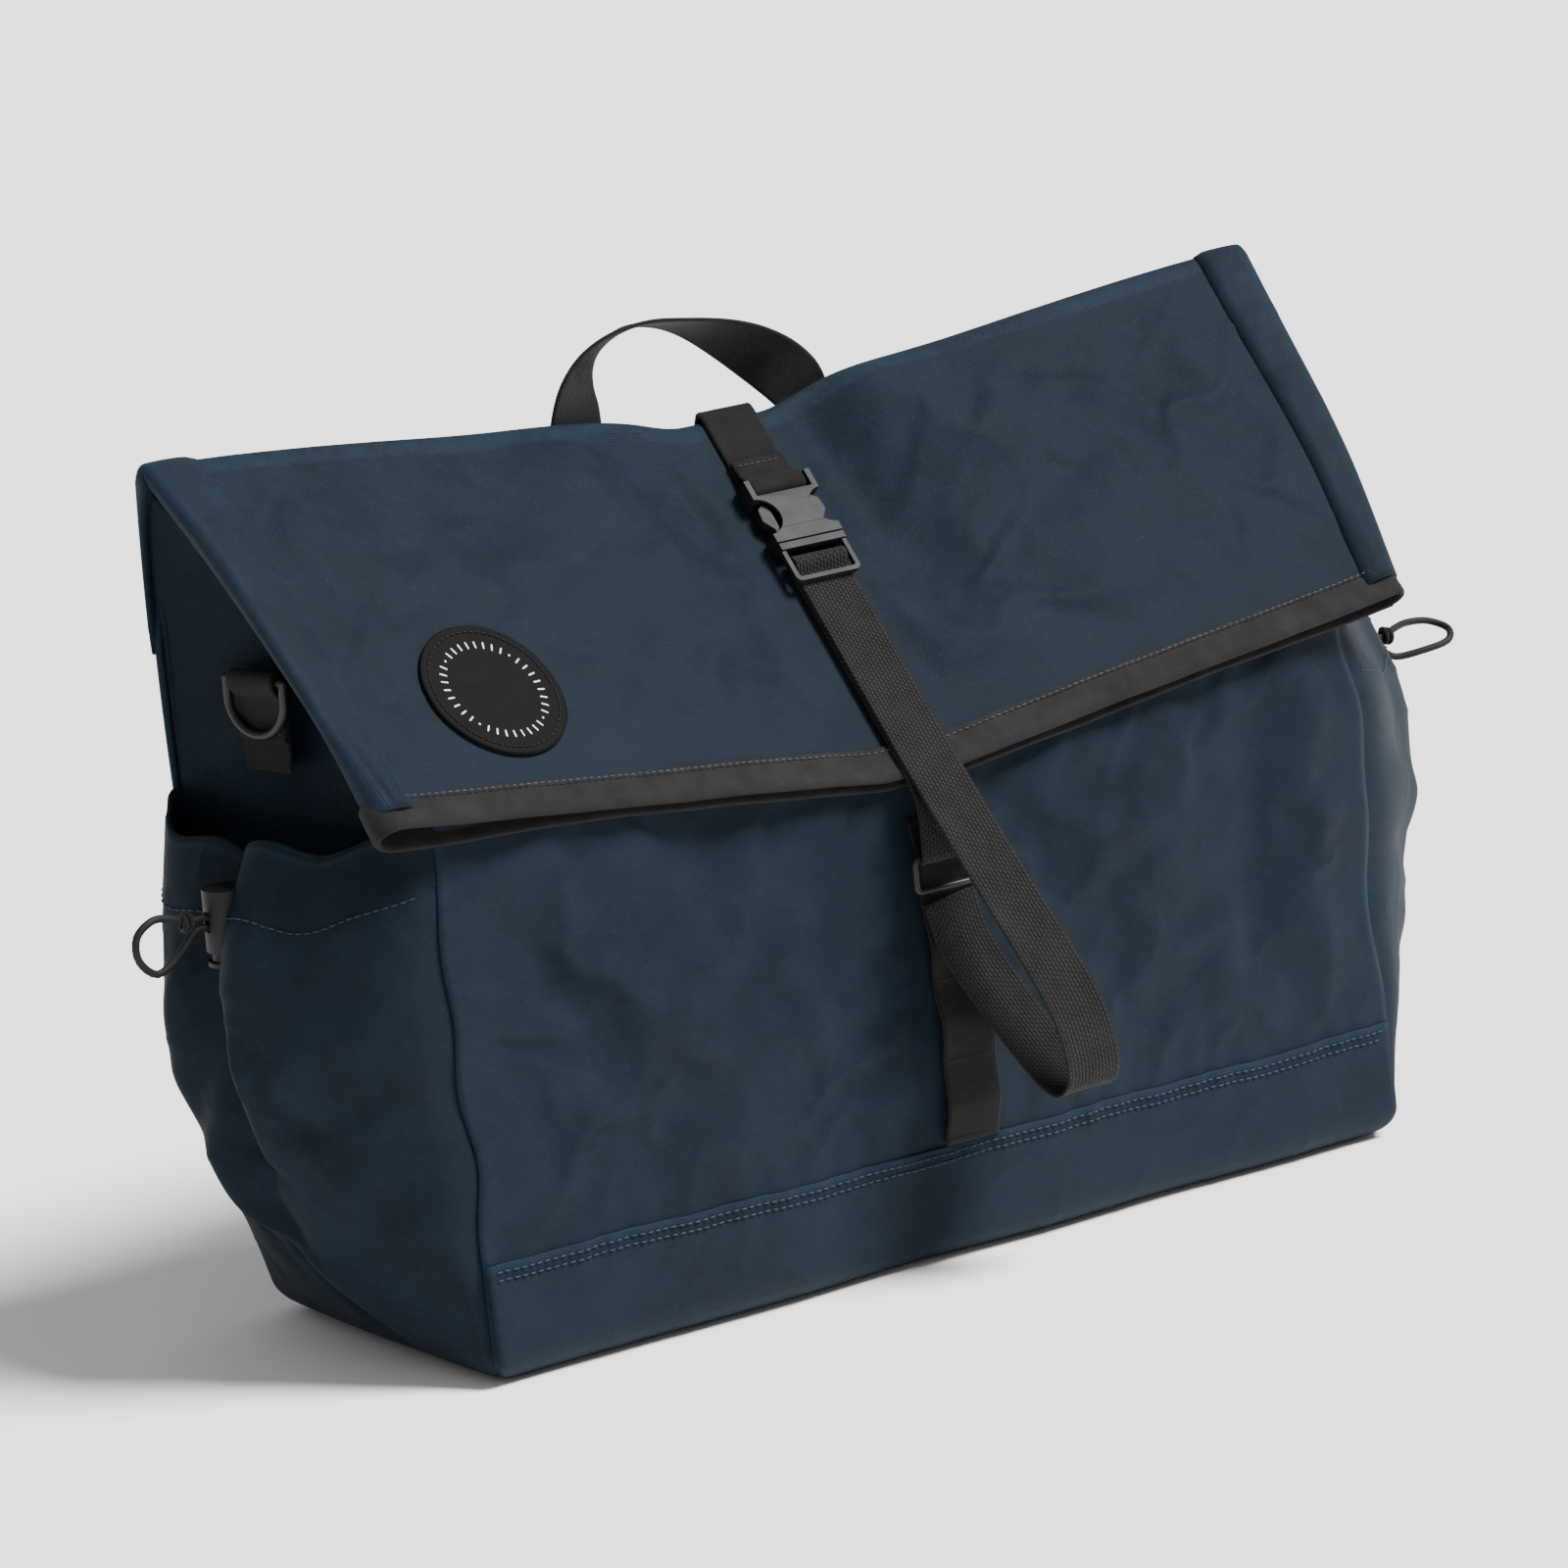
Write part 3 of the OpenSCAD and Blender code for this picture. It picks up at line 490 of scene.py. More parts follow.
def wrinkle(piece, shape, growth, free, frames=16, cap=4.0, bending=6.0):
    """Lets the cloth grow a little between its held edges, so that it buckles into natural folds.

    free is 0 where the cloth is held and 1 where it moves fully, on the piece's own grid of points.
    cap is the distance in millimetres that no point goes beyond.
    """
    free = np.broadcast_to(free, shape).ravel()
    before, moved = simulate(
        piece, np.flatnonzero(free < 0.05), frames, shrink_min=-growth, quality=4, mass=0.4, air_damping=6,
        tension_stiffness=25, compression_stiffness=25, bending_stiffness=bending)
    far = np.linalg.norm(moved, axis=1, keepdims=True)
    moved = moved * (cap * MM) / (cap * MM + far) * free[:, None]
    piece.data.vertices.foreach_set("co", (before + moved).ravel())
    piece.data.update()


def mirrored(name, piece):
    """The piece's mirror image across x = 0."""
    mesh = piece.data.copy()
    mesh.name = name
    mesh.transform(Matrix.Scale(-1, 4, (1, 0, 0)))
    mesh.flip_normals()
    other = put_in_scene(name, mesh)
    for m in piece.modifiers:
        made = other.modifiers.new(m.name, m.type)
        if m.type == "SOLIDIFY":
            made.thickness, made.offset, made.use_even_offset = m.thickness, m.offset, m.use_even_offset
    return other


def spline(points, steps):
    """Catmull-Rom line through the points, as part.scad smooths its routes."""
    p = [np.array(q, float) for q in points]
    last = len(p) - 1
    line = []
    for i in range(last):
        a, b, c, d = p[max(0, i - 1)], p[i], p[i + 1], p[min(last, i + 2)]
        for k in range(steps):
            t = k / steps
            line.append((2 * b + (c - a) * t + (2 * a - 5 * b + 4 * c - d) * t * t
                         + (3 * b - a - 3 * c + d) * t**3) / 2)
    line.append(p[last])
    return np.array(line)


def resample(line, step, *others):
    """The line with points a step apart, and the other arrays carried along with it."""
    run = distance_along(line)
    at = np.linspace(0, run[-1], max(3, int(run[-1] / step) + 1))
    made = [interpolate(at, run, values) for values in (line, *others)]
    return made if others else made[0]


def softened(line, passes):
    for _ in range(passes):
        line = np.vstack([line[:1], (line[:-2] + 2 * line[1:-1] + line[2:]) / 4, line[-1:]])
    return line


def webbing(name, line, across, material, width=WEB_W, thick=WEB_T, step=1.6, soften=2):
    """Woven webbing along a line, with rounded selvedges. across is its width's direction."""
    line, across = resample(np.asarray(line, float), step, np.asarray(across, float))
    line = softened(line, soften)
    heading = unit(np.gradient(line, axis=0))
    across = unit(across - heading * (across * heading).sum(1, keepdims=True))
    normal = np.cross(heading, across)
    half = width / 2
    left = [(-half, 0.0), (-half + 0.35, 0.75), (-half + 1.1, 1.06), (-half + 2.2, 0.9), (-half / 3, 0.94)]
    top = [(w, rise * (thick / 2)) for w, rise in left + [(-w, rise) for w, rise in left[::-1]]]
    ring = top + [(w, -h) for w, h in top[-2:0:-1]]
    points, weave = [], []
    for p, a, n, s in zip(line, across, normal, distance_along(line)):
        points += [p + a * w + n * h for w, h in ring]
        weave += [[s, w + half, 0] for w, h in ring]
    sides, last = len(ring), len(line) - 1
    faces = [list(f) for f in grid_faces(len(line), sides, around=True)[:, ::-1]]
    faces.append(list(range(sides)))
    faces.append([last * sides + k for k in range(sides - 1, -1, -1)])
    return new_piece(name, np.array(points), faces, material, np.array(weave))


TUBE_SIDES = 6
SEAM = {"pitch": 3.5, "length": 2.7, "thick": 0.75}
BARTACK = {"pitch": 1.5, "length": 1.3, "thick": 0.5}
BOX_SEAM = {"pitch": 2.6, "length": 2.1, "thick": 0.5}


def tube_line(points, normals_hint, sizes):
    """Rings of an oval tube along a line. sizes gives half width and half height at each point."""
    heading = unit(np.gradient(points, axis=0))
    side = unit(np.cross(heading, normals_hint))
    up = np.cross(side, heading)
    angle = np.linspace(0, 2 * np.pi, TUBE_SIDES, endpoint=False)
    ring = (side[:, None] * np.cos(angle)[None, :, None] * sizes[:, 0][:, None, None]
            + up[:, None] * np.sin(angle)[None, :, None] * sizes[:, 1][:, None, None])
    return points[:, None] + ring


def tube_faces(rings, start=0):
    """Faces of a closed tube whose first point is number start."""
    faces = (grid_faces(rings, TUBE_SIDES, around=True) + start).tolist()
    last = start + (rings - 1) * TUBE_SIDES
    faces.append([start + k for k in range(TUBE_SIDES - 1, -1, -1)])
    faces.append([last + k for k in range(TUBE_SIDES)])
    return faces


def round_tube(name, line, hint, radius, material, weave=None):
    """A closed tube of even thickness along a line, rounded by one subdivision."""
    points = tube_line(line, np.tile(hint, (len(line), 1)), np.full((len(line), 2), radius))
    piece = new_piece(name, points.reshape(-1, 3), tube_faces(len(line)), material, weave)
    smoother = piece.modifiers.new("round", "SUBSURF")
    smoother.levels = smoother.render_levels = 1
    return piece


def stitches(name, surface, a, b, material, pitch=3.4, length=2.5, thick=0.55, lift=0.1, outward=1):
    """A row of thread stitches on surface(a, b), along the line that the arrays a and b give."""
    dense = surface(a, b)
    run = distance_along(dense)
    size = 1e-3 * max(1e-3, float(np.ptp(a)), float(np.ptp(b)))
    ta = surface(a + size, b) - surface(a - size, b)
    tb = surface(a, b + size) - surface(a, b - size)
    normal = unit(np.cross(ta, tb)) * outward
    bow = np.array([0, 0.75, 1, 0.75, 0])
    sizes = np.stack([thick / 2 * (0.55 + 0.45 * bow), thick / 2 * (0.5 + 0.5 * bow)], axis=1)
    points, faces = [], []
    for k in range(int(run[-1] / pitch)):
        at = (k + 0.5) * pitch + np.linspace(-length / 2, length / 2, len(bow))
        n = unit(interpolate(at, run, normal))
        p = interpolate(at, run, dense) + n * (lift + thick * 0.5 * (bow - 0.55))[:, None]
        faces += tube_faces(len(bow), len(points) * TUBE_SIDES)
        points.extend(tube_line(p, n, sizes))
    return new_piece(name, np.array(points).reshape(-1, 3), faces, material)


# ---- Materials ----


def node(tree, kind, inputs=(), **settings):
    made = tree.nodes.new("ShaderNode" + kind)
    for key, value in settings.items():
        setattr(made, key, value)
    for key, value in dict(inputs).items():
        if isinstance(value, bpy.types.NodeSocket):
            tree.links.new(value, made.inputs[key])
        else:
            made.inputs[key].default_value = value
    return made


def ramp(tree, factor, stops):
    made = node(tree, "ValToRGB", {"Fac": factor})
    elements = made.color_ramp.elements
    while len(elements) < len(stops):
        elements.new(0.5)
    for element, (place, value) in zip(elements, stops):
        element.position = place
        element.color = (value, value, value, 1) if isinstance(value, (int, float)) else (*value, 1)
    return made.outputs["Color"]


def blend_colour(tree, factor, a, b, mode="MIX"):
    made = node(tree, "Mix", data_type="RGBA", blend_type=mode)
    for key, value in ((0, factor), (6, a), (7, b)):
        if isinstance(value, bpy.types.NodeSocket):
            tree.links.new(value, made.inputs[key])
        else:
            made.inputs[key].default_value = value if isinstance(value, (int, float)) else (*value, 1)
    return made.outputs[2]


def tinted(tree, colour, factor, low, high, over, amount=1.0):
    """Lays another colour over the first where factor rises from low to high."""
    return blend_colour(tree, ramp(tree, factor, [(low, 0.0), (high, amount)]), colour, over)


def maths(tree, operation, a, b=0.0, c=0.0):
    made = node(tree, "Math", operation=operation)
    for key, value in enumerate((a, b, c)):
        if isinstance(value, bpy.types.NodeSocket):
            tree.links.new(value, made.inputs[key])
        else:
            made.inputs[key].default_value = value
    return made.outputs[0]


def noise(tree, place, scale, detail=4, rough=0.55, kind="FBM"):
    made = node(tree, "TexNoise", {"Vector": place, "Scale": scale, "Detail": detail, "Roughness": rough},
                noise_type=kind)
    return made.outputs["Fac"] if "Fac" in made.outputs else made.outputs["Factor"]


def scaled(tree, place, by):
    return node(tree, "VectorMath", {0: place, 1: by}, operation="MULTIPLY").outputs[0]


def start_material(name, own_mesh=True):
    """A new material, its node tree, its shader, and the places on its mesh in millimetres."""
    material = bpy.data.materials.new(name)
    material.use_nodes = True
    tree = material.node_tree
    shader = tree.nodes["Principled BSDF"]
    if own_mesh:
        rest = node(tree, "Attribute", attribute_name="rest_mm").outputs["Vector"]
        weave = node(tree, "Attribute", attribute_name="weave_mm").outputs["Vector"]
    else:
        rest = scaled(tree, node(tree, "TexCoord").outputs["Object"], (1000, 1000, 1000))
        weave = rest
    return material, tree, shader, rest, weave


def finish_material(tree, shader, colour, rough, heights, specular=0.4):
    """heights is a list of (socket, depth in millimetres); each is a bump of its own."""
    tree.links.new(colour, shader.inputs["Base Color"])
    if isinstance(rough, bpy.types.NodeSocket):
        tree.links.new(rough, shader.inputs["Roughness"])
    else:
        shader.inputs["Roughness"].default_value = rough
    shader.inputs["Specular IOR Level"].default_value = specular
    normal = None
    for height, depth in heights:
        bump = node(tree, "Bump", {"Height": height, "Strength": 1.0, "Distance": depth * MM})
        if normal is not None:
            tree.links.new(normal, bump.inputs["Normal"])
        normal = bump.outputs["Normal"]
    if normal is not None:
        tree.links.new(normal, shader.inputs["Normal"])


def woven(tree, place, width, height, gap=0.16):
    """Height of a plain weave: rows of floats, each row half a float on from the last."""
    brick = node(tree, "TexBrick", {
        "Vector": place, "Scale": 1.0, "Mortar Size": gap, "Mortar Smooth": 1.0,
        "Brick Width": width, "Row Height": height, "Bias": 0.0}, offset=0.5)
    return maths(tree, "SUBTRACT", 1.0, brick.outputs["Fac"])


def waxed_cloth(name, dark, mid, light, sheen=0.12):
    """Waxed canvas: cloudy colour, pale flecks, scuffs and crease lines over a fine plain weave."""
    material, tree, shader, rest, weave = start_material(name)
    broad = noise(tree, rest, 0.011, 5, 0.6)
    cloud = noise(tree, rest, 0.045, 6, 0.62)
    scuff = noise(tree, rest, 0.19, 5, 0.7)
    fleck = noise(tree, rest, 0.48, 4, 0.8)
    lines = noise(tree, rest, 0.032, 7, 0.6, "RIDGED_MULTIFRACTAL")
    thread = noise(tree, scaled(tree, weave, (2.4, 0.35, 1)), 1.0, 2, 0.5)
    turned = node(tree, "Mapping", {"Vector": rest, "Rotation": (0.4, 0.7, 0.9), "Scale": (0.9, 0.16, 0.5)})
    streak = noise(tree, turned.outputs[0], 1.0, 3, 0.7)
    cloth = woven(tree, weave, 1.1, 0.55)
    pale = tuple(min(1, c * 2.3) for c in light)
    colour = tinted(tree, dark, broad, 0.36, 0.66, mid)
    colour = tinted(tree, colour, cloud, 0.40, 0.74, light, 0.75)
    colour = tinted(tree, colour, scuff, 0.54, 0.78, light, 0.55)
    colour = tinted(tree, colour, fleck, 0.61, 0.74, pale, 0.60)
    colour = tinted(tree, colour, streak, 0.63, 0.76, pale, 0.42)
    colour = tinted(tree, colour, lines, 0.78, 1.0, pale, 0.30)
    worn = node(tree, "Attribute", attribute_name="wear").outputs["Fac"]
    worn = maths(tree, "MULTIPLY", worn, ramp(tree, scuff, [(0.3, 0.35), (0.7, 1.0)]))
    colour = blend_colour(tree, worn, colour, pale)
    shade = maths(tree, "MULTIPLY_ADD", thread, 0.5, 0.0)
    colour = blend_colour(tree, shade, colour, tuple(c * 0.7 for c in dark))
    rough = maths(tree, "MULTIPLY_ADD", cloud, 0.22, 0.50)
    finish_material(tree, shader, colour, rough,
                    [(lines, 0.45), (scuff, 0.30), (thread, 0.08), (cloth, 0.16)], 0.12)
    shader.inputs["Sheen Weight"].default_value = sheen
    shader.inputs["Sheen Roughness"].default_value = 0.45
    shader.inputs["Sheen Tint"].default_value = (0.45, 0.6, 0.8, 1)
    return material


def tape(name, dark, light, width, height, depth, rough=0.78):
    """Webbing, grosgrain or thread: floats of that width and height, with painted shade in the grooves
    between them and pale dust over all.
    """
    material, tree, shader, rest, weave = start_material(name)
    floats = woven(tree, weave, width, height, 0.30 * height)
    dust = noise(tree, rest, 0.08, 5, 0.65)
    fibre = noise(tree, rest, 1.6, 3, 0.6)
    # Painted shade: the grooves between the floats are darkened to a fifth of the tape's colour.
    colour = blend_colour(tree, floats, tuple(c * 0.22 for c in dark), dark)
    colour = tinted(tree, colour, dust, 0.35, 0.75, light, 0.8)
    colour = tinted(tree, colour, fibre, 0.55, 0.8, light, 0.35)
    finish_material(tree, shader, colour, maths(tree, "MULTIPLY_ADD", fibre, 0.15, rough - 0.08),
                    [(fibre, 0.05), (floats, depth)], 0.12)
    shader.inputs["Sheen Weight"].default_value = 0.05
    return material


def hard(name, dark, light, rough, metallic=0.0, specular=0.5, grain=0.02, own_mesh=False):
    """Moulded plastic or coated metal: fine grain, faint wear and uneven gloss."""
    material, tree, shader, rest, _ = start_material(name, own_mesh)
    broad = noise(tree, rest, 0.12, 4, 0.6)
    fine = noise(tree, rest, 3.0, 4, 0.6)
    colour = tinted(tree, dark, broad, 0.4, 0.75, light)
    gloss = maths(tree, "MULTIPLY_ADD", broad, 0.2, rough - 0.1)
    finish_material(tree, shader, colour, gloss, [(fine, grain)], specular)
    shader.inputs["Metallic"].default_value = metallic
    return material


def thread(name, dark, light, specular=0.3):
    return hard(name, dark, light, 0.6, specular=specular, own_mesh=True)


NAVY = waxed_cloth("navy_waxed_cloth", (0.0020, 0.0068, 0.0136), (0.0038, 0.0112, 0.0212),
                   (0.0078, 0.0184, 0.0314), 0.02)
# Painted shade: a darker copy of the navy cloth, for the gussets and side pockets so that they read as sides
# in shade.
SHADED_NAVY = waxed_cloth("navy_cloth_painted_shade", (0.0018, 0.0062, 0.0122), (0.0036, 0.0104, 0.0188),
                        (0.0078, 0.0172, 0.0280), 0.02)
LINING = waxed_cloth("dark_lining", (0.010, 0.014, 0.020), (0.014, 0.019, 0.026),
                     (0.020, 0.026, 0.034), 0.05)
FOAM = waxed_cloth("foam_cover", (0.020, 0.022, 0.026), (0.028, 0.030, 0.034),
                   (0.040, 0.042, 0.046), 0.05)
BINDING = tape("grosgrain_binding", (0.0085, 0.0080, 0.0092), (0.0165, 0.0155, 0.0172), 1.0, 0.7, 0.12, 0.75)
FINE_WEB = tape("fine_webbing", (0.0044, 0.0040, 0.0046), (0.0088, 0.0080, 0.0090), 1.3, 0.65, 0.18)
RIB_WEB = tape("ribbed_webbing", (0.0092, 0.0084, 0.0092), (0.0160, 0.0148, 0.0160), 2.2, 1.6, 0.70)
CORD = tape("braided_cord", (0.0045, 0.0045, 0.005), (0.010, 0.010, 0.011), 0.9, 0.6, 0.12)
NAVY_THREAD = thread("navy_thread", (0.009, 0.023, 0.038), (0.018, 0.038, 0.056))
GREY_THREAD = thread("grey_thread", (0.036, 0.034, 0.037), (0.070, 0.066, 0.070))
BLACK_THREAD = thread("black_thread", (0.006, 0.006, 0.0065), (0.014, 0.014, 0.015), 0.2)
LEATHER = hard("patch_leather", (0.0018, 0.0018, 0.0020), (0.0045, 0.0045, 0.0048), 0.72,
               specular=0.08, grain=0.10, own_mesh=True)
WHITE_INK = hard("white_marks", (0.55, 0.55, 0.56), (0.75, 0.75, 0.76), 0.6, own_mesh=True)
PLASTIC = hard("moulded_plastic", (0.0060, 0.0060, 0.0064), (0.0105, 0.0105, 0.0110), 0.54, specular=0.2)
METAL = hard("black_metal", (0.005, 0.005, 0.0054), (0.010, 0.010, 0.0105), 0.46, specular=0.3)
STEEL = hard("spring_steel", (0.42, 0.42, 0.43), (0.60, 0.60, 0.61), 0.28, metallic=1.0, own_mesh=True)
BOARD = hard("base_board", (0.016, 0.017, 0.019), (0.026, 0.027, 0.030), 0.7)
CORD_CURVE = hard("braided_curve", (0.0045, 0.0045, 0.005), (0.011, 0.011, 0.012), 0.62,
                  specular=0.2, grain=0.12)


# ---- Camera and cords come first ----

AZIMUTH, ELEVATION, ROLL, DISTANCE, LENS = -33.4, 14.3, 4.2, 3000, 175.5
VIEW_AIM = (-18.1, 27.1)  # the picture's centre, right of and above the point (0, 0, 150)


def make_camera():
    a, e, roll = (math.radians(x) for x in (AZIMUTH, ELEVATION, ROLL))
    right = Vector((math.cos(a), math.sin(a), 0))
    up = Vector((-math.sin(a) * math.sin(e), math.cos(a) * math.sin(e), math.cos(e)))
    back = Vector((math.sin(a) * math.cos(e), -math.cos(a) * math.cos(e), math.sin(e)))
    right, up = right * math.cos(roll) - up * math.sin(roll), right * math.sin(roll) + up * math.cos(roll)
    aim = Vector((0, 0, 150)) + right * VIEW_AIM[0] + up * VIEW_AIM[1]
    data = bpy.data.cameras.new("camera")
    data.sensor_width, data.lens, data.clip_end = 36, LENS, 90
    camera = put_in_scene("camera", data)
    turn = Matrix((right, up, back)).transposed().to_4x4()
    camera.matrix_world = Matrix.Translation((aim + back * DISTANCE) * MM) @ turn
    bpy.context.scene.camera = camera


CORD_OUT = [(LOCK_X + 11, LOCK_Y, LOCK_Z + STRAND), (LOCK_X, LOCK_Y, LOCK_Z + STRAND),
            (KNOT_X + 6, LOCK_Y, LOCK_Z + STRAND), (KNOT_X, LOCK_Y, LOCK_Z + STRAND)]
CORD_BACK = [(KNOT_X + 3, LOCK_Y, LOCK_Z - 3), (KNOT_X + 7, LOCK_Y, LOCK_Z - STRAND),
             (LOCK_X, LOCK_Y, LOCK_Z - STRAND), (LOCK_X + 11, LOCK_Y, LOCK_Z - STRAND)]
LEFT_LOOP = [(-7, -1, 5), (-15, -2, 6), (-22, -2, 1), (-22, -2, -8), (-14, -1, -15), (-4, 0, -10)]
RIGHT_LOOP = [(-8, 4, 3), (-18, 8, 3), (-28, 7, 2), (-33, 0, -1), (-27, -7, -4), (-15, -6, -6),
              (-4, -1, -7.5)]


def make_cord(side, loop):
    """The pull loop of a side pocket: out of the hem, through lock and knot, round and back in."""
    sign = -1 if side == "right" else 1
    route = CORD_OUT + [(KNOT_X + x, LOCK_Y + y, LOCK_Z + z) for x, y, z in loop] + CORD_BACK
    line = spline(route, 4) * (sign, 1, 1)
    data = bpy.data.curves.new(f"{side}_pull_cord", "CURVE")
    data.dimensions = "3D"
    data.bevel_depth, data.bevel_resolution = CORD_D / 2 * MM, 5
    data.use_fill_caps = True
    run = data.splines.new("POLY")
    run.points.add(len(line) - 1)
    for point, place in zip(run.points, line):
        point.co = (*(place * MM), 1)
    data.materials.append(CORD_CURVE)
    cord = put_in_scene(f"{side}_pull_cord", data)
    knot, spring = make_knot(side, sign), make_spring(side, sign)
    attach(cord, "bag")
    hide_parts(f"{side}_cord")


def make_knot(side, sign):
    """An overhand knot: one thick turn over the strands with a second turn crossing it."""
    turn = np.linspace(0, 4 * np.pi, 72)
    radius = 2.75 + 0.35 * np.cos(turn / 2)
    centre = np.array([KNOT_X, LOCK_Y, LOCK_Z + STRAND])
    line = centre + stack(1.25 * np.sin(turn / 2), radius * np.cos(turn), radius * np.sin(turn))
    around = np.arange(TUBE_SIDES) * 1.4
    weave = stack(np.repeat(turn * 2.8, TUBE_SIDES), np.tile(around, len(line)), 0.0)
    knot = round_tube(f"{side}_knot", line * (sign, 1, 1), [1.0, 0, 0], 1.3, CORD, weave)
    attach(knot, "bag")
    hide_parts(f"{side}_cord_knot")
    return knot


def make_spring(side, sign):
    """The lock's coil, between the plunger and the barrel's end."""
    low, high, wire, coil_r = LOCK_Z + 6, LOCK_Z + 9.7, 0.7, 3.6
    turn = np.linspace(0, 4 * np.pi, 61)
    rise = mix(low, high, smooth(np.linspace(0, 1, len(turn))))
    line = stack(LOCK_X + coil_r * np.cos(turn), LOCK_Y + coil_r * np.sin(turn), rise) * (sign, 1, 1)
    spring = round_tube(f"{side}_spring_coil", line, [0, 0, 1.0], wire / 2, STEEL)
    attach(spring, f"{side}_lock")
    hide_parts(f"{side}_lock_spring")
    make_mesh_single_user(spring)
    return spring


make_camera()
make_cord("left", LEFT_LOOP)
make_cord("right", RIGHT_LOOP)


# ---- Placing pieces ----


def settle(piece, body, slot, *nodes):
    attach(piece, body)
    if nodes:
        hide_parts(*nodes)
    return piece


def sew(body, slot, *row, **look):
    """A row of stitches that rides on a body."""
    settle(stitches(*row, **look), body, slot)


def over_fold(piece, slot, reach, *nodes):
    """Cloth that runs from the back over the fold: its place is baked into its points and the CAD nodes it
    stands for are hidden. reach is not used.
    """
    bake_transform(piece)
    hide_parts(*nodes)


# ---- Back, fold and flap: one length of cloth ----

FOLD_TURN, TAPER = 9, 75
BACK_ROWS, TURN_ROWS, FLAP_ROWS = 62, 8, 74
START_V = 1 - FOLD_TURN / SLOPE_LEN  # where the flap's straight part begins, below the fold
CLOTH_BEND, STRAP_BEND = 13, 6
SEAM_LAP = 0.4
TUCK_IN, TUCK_DOWN = 3.5, 2.0  # how far the folded side's seam edge is turned under the flap


def seam_half(z):
    """Half width of the cloth at the back: near the fold it narrows to the side strips' seams."""
    return back_half(z) - STRIP_FOLD * smooth((z - (FOLD_H - TAPER)) / TAPER)


def bend_over(low, corner, high, count):
    """Rows that round the fold, between the last row below it and the first row beyond it."""
    shares = np.linspace(0, 1, count + 2)[1:-1]
    return [low * (1 - w) ** 2 + corner * 2 * w * (1 - w) + high * w**2 for w in shares]


def make_back_and_flap():
    across = np.linspace(-1, 1, 181)
    top_x = across * SEAM_FOLD
    rows = []
    for w in np.linspace(0, 1, BACK_ROWS):
        z = mix(1.5, fold_z(top_x) - FOLD_TURN, w**0.9)
        rows.append(back_face(across * seam_half(z), z))
    corner = stack(top_x, FOLD_Y + 0.2, fold_z(top_x) + 0.5)
    rows += bend_over(rows[-1], corner, flap_face(across, START_V), TURN_ROWS)
    rows += [flap_face(across, v) for v in np.linspace(START_V, BINDING_V * 0.55, FLAP_ROWS)]
    rows = np.array(rows)
    wear = np.zeros(rows.shape[:2])
    wear[BACK_ROWS - 2:BACK_ROWS + 10] += 0.32
    wear += 0.22 * np.maximum(bell(across, -1, 0.012), bell(across, 1, 0.012))[None, :]
    wear = np.pad(wear, LIP_PAD, "edge")
    down = np.arange(len(rows))
    inward = mix(np.array([0.0, -1, 0]), -OUT, smooth((down - BACK_ROWS) / 8)[:, None])
    rows = tucked(rows, inward)
    piece = cloth_sheet("back_and_flap_cloth", rows[:, ::-1], NAVY, wear=wear[:, ::-1])
    x, s = rows[..., 0], (down - BACK_ROWS - TURN_ROWS)[:, None] / FLAP_ROWS * SLOPE_LEN
    patch = np.hypot(x - PATCH_X, s - (1 - PATCH_V) * SLOPE_LEN)
    seams = smooth((np.abs(x).max(axis=1, keepdims=True) - np.abs(x) - 6) / 14)
    free = seams * smooth((off_strap(x) - 2) / 14) * smooth((patch - PATCH_R - 3) / 12)
    free = free * smooth(down / 8)[:, None] * smooth((len(rows) - 10 - down) / 8)[:, None]
    free = free * smooth((np.abs(down - BACK_ROWS - 3) - 9) / 8)[:, None]
    wrinkle(piece, rows.shape[:2], 0.011, free[:, ::-1], cap=4.5)
    over_fold(piece, "waxed_cloth", CLOTH_BEND, "back_panel", "flap_outer")


def strip_face(turn, v, side):
    """Side of the folded tube: turn runs 0 at the seam, over the edge, to 1 under the flap."""
    turn, v = np.broadcast_arrays(np.asarray(turn, float), np.asarray(v, float))
    over = np.clip(turn / 0.5, 0, 1)
    round_part = np.clip((turn - 0.5) / 0.32, 0, 1)
    under = np.clip((turn - 0.82) / 0.18, 0, 1)
    inset = (flap_gap(v, side * mix(FLAP_W / 2, TOP_W / 2, v)) + 1.2) / 2
    angle = np.pi * round_part
    tuck = 1 - smooth(over / 0.07)
    out = inset * np.sin(angle) - 9 * under - TUCK_IN * tuck
    x_edge = mix(SEAM_EDGE + SEAM_LAP, FLAP_W / 2 - inset, over) + out
    x_fold = mix(SEAM_FOLD + SEAM_LAP, TOP_W / 2 - inset, over) + out
    s = (1 - v) * SLOPE_LEN
    pucker = (0.5 * np.sin(s / 6.5 + 2 * side_wave(s, turn * 20)) + 0.8) * np.sin(np.pi * over)
    lift = pucker - inset * (1 - np.cos(angle)) + 0.7 * (1 - round_part) - TUCK_DOWN * tuck
    relief = flap_relief(side * mix(SEAM_EDGE, SEAM_FOLD, v), s) * (1 - round_part)
    return flap_plain(side * x_edge, side * x_fold, v, lift + relief)


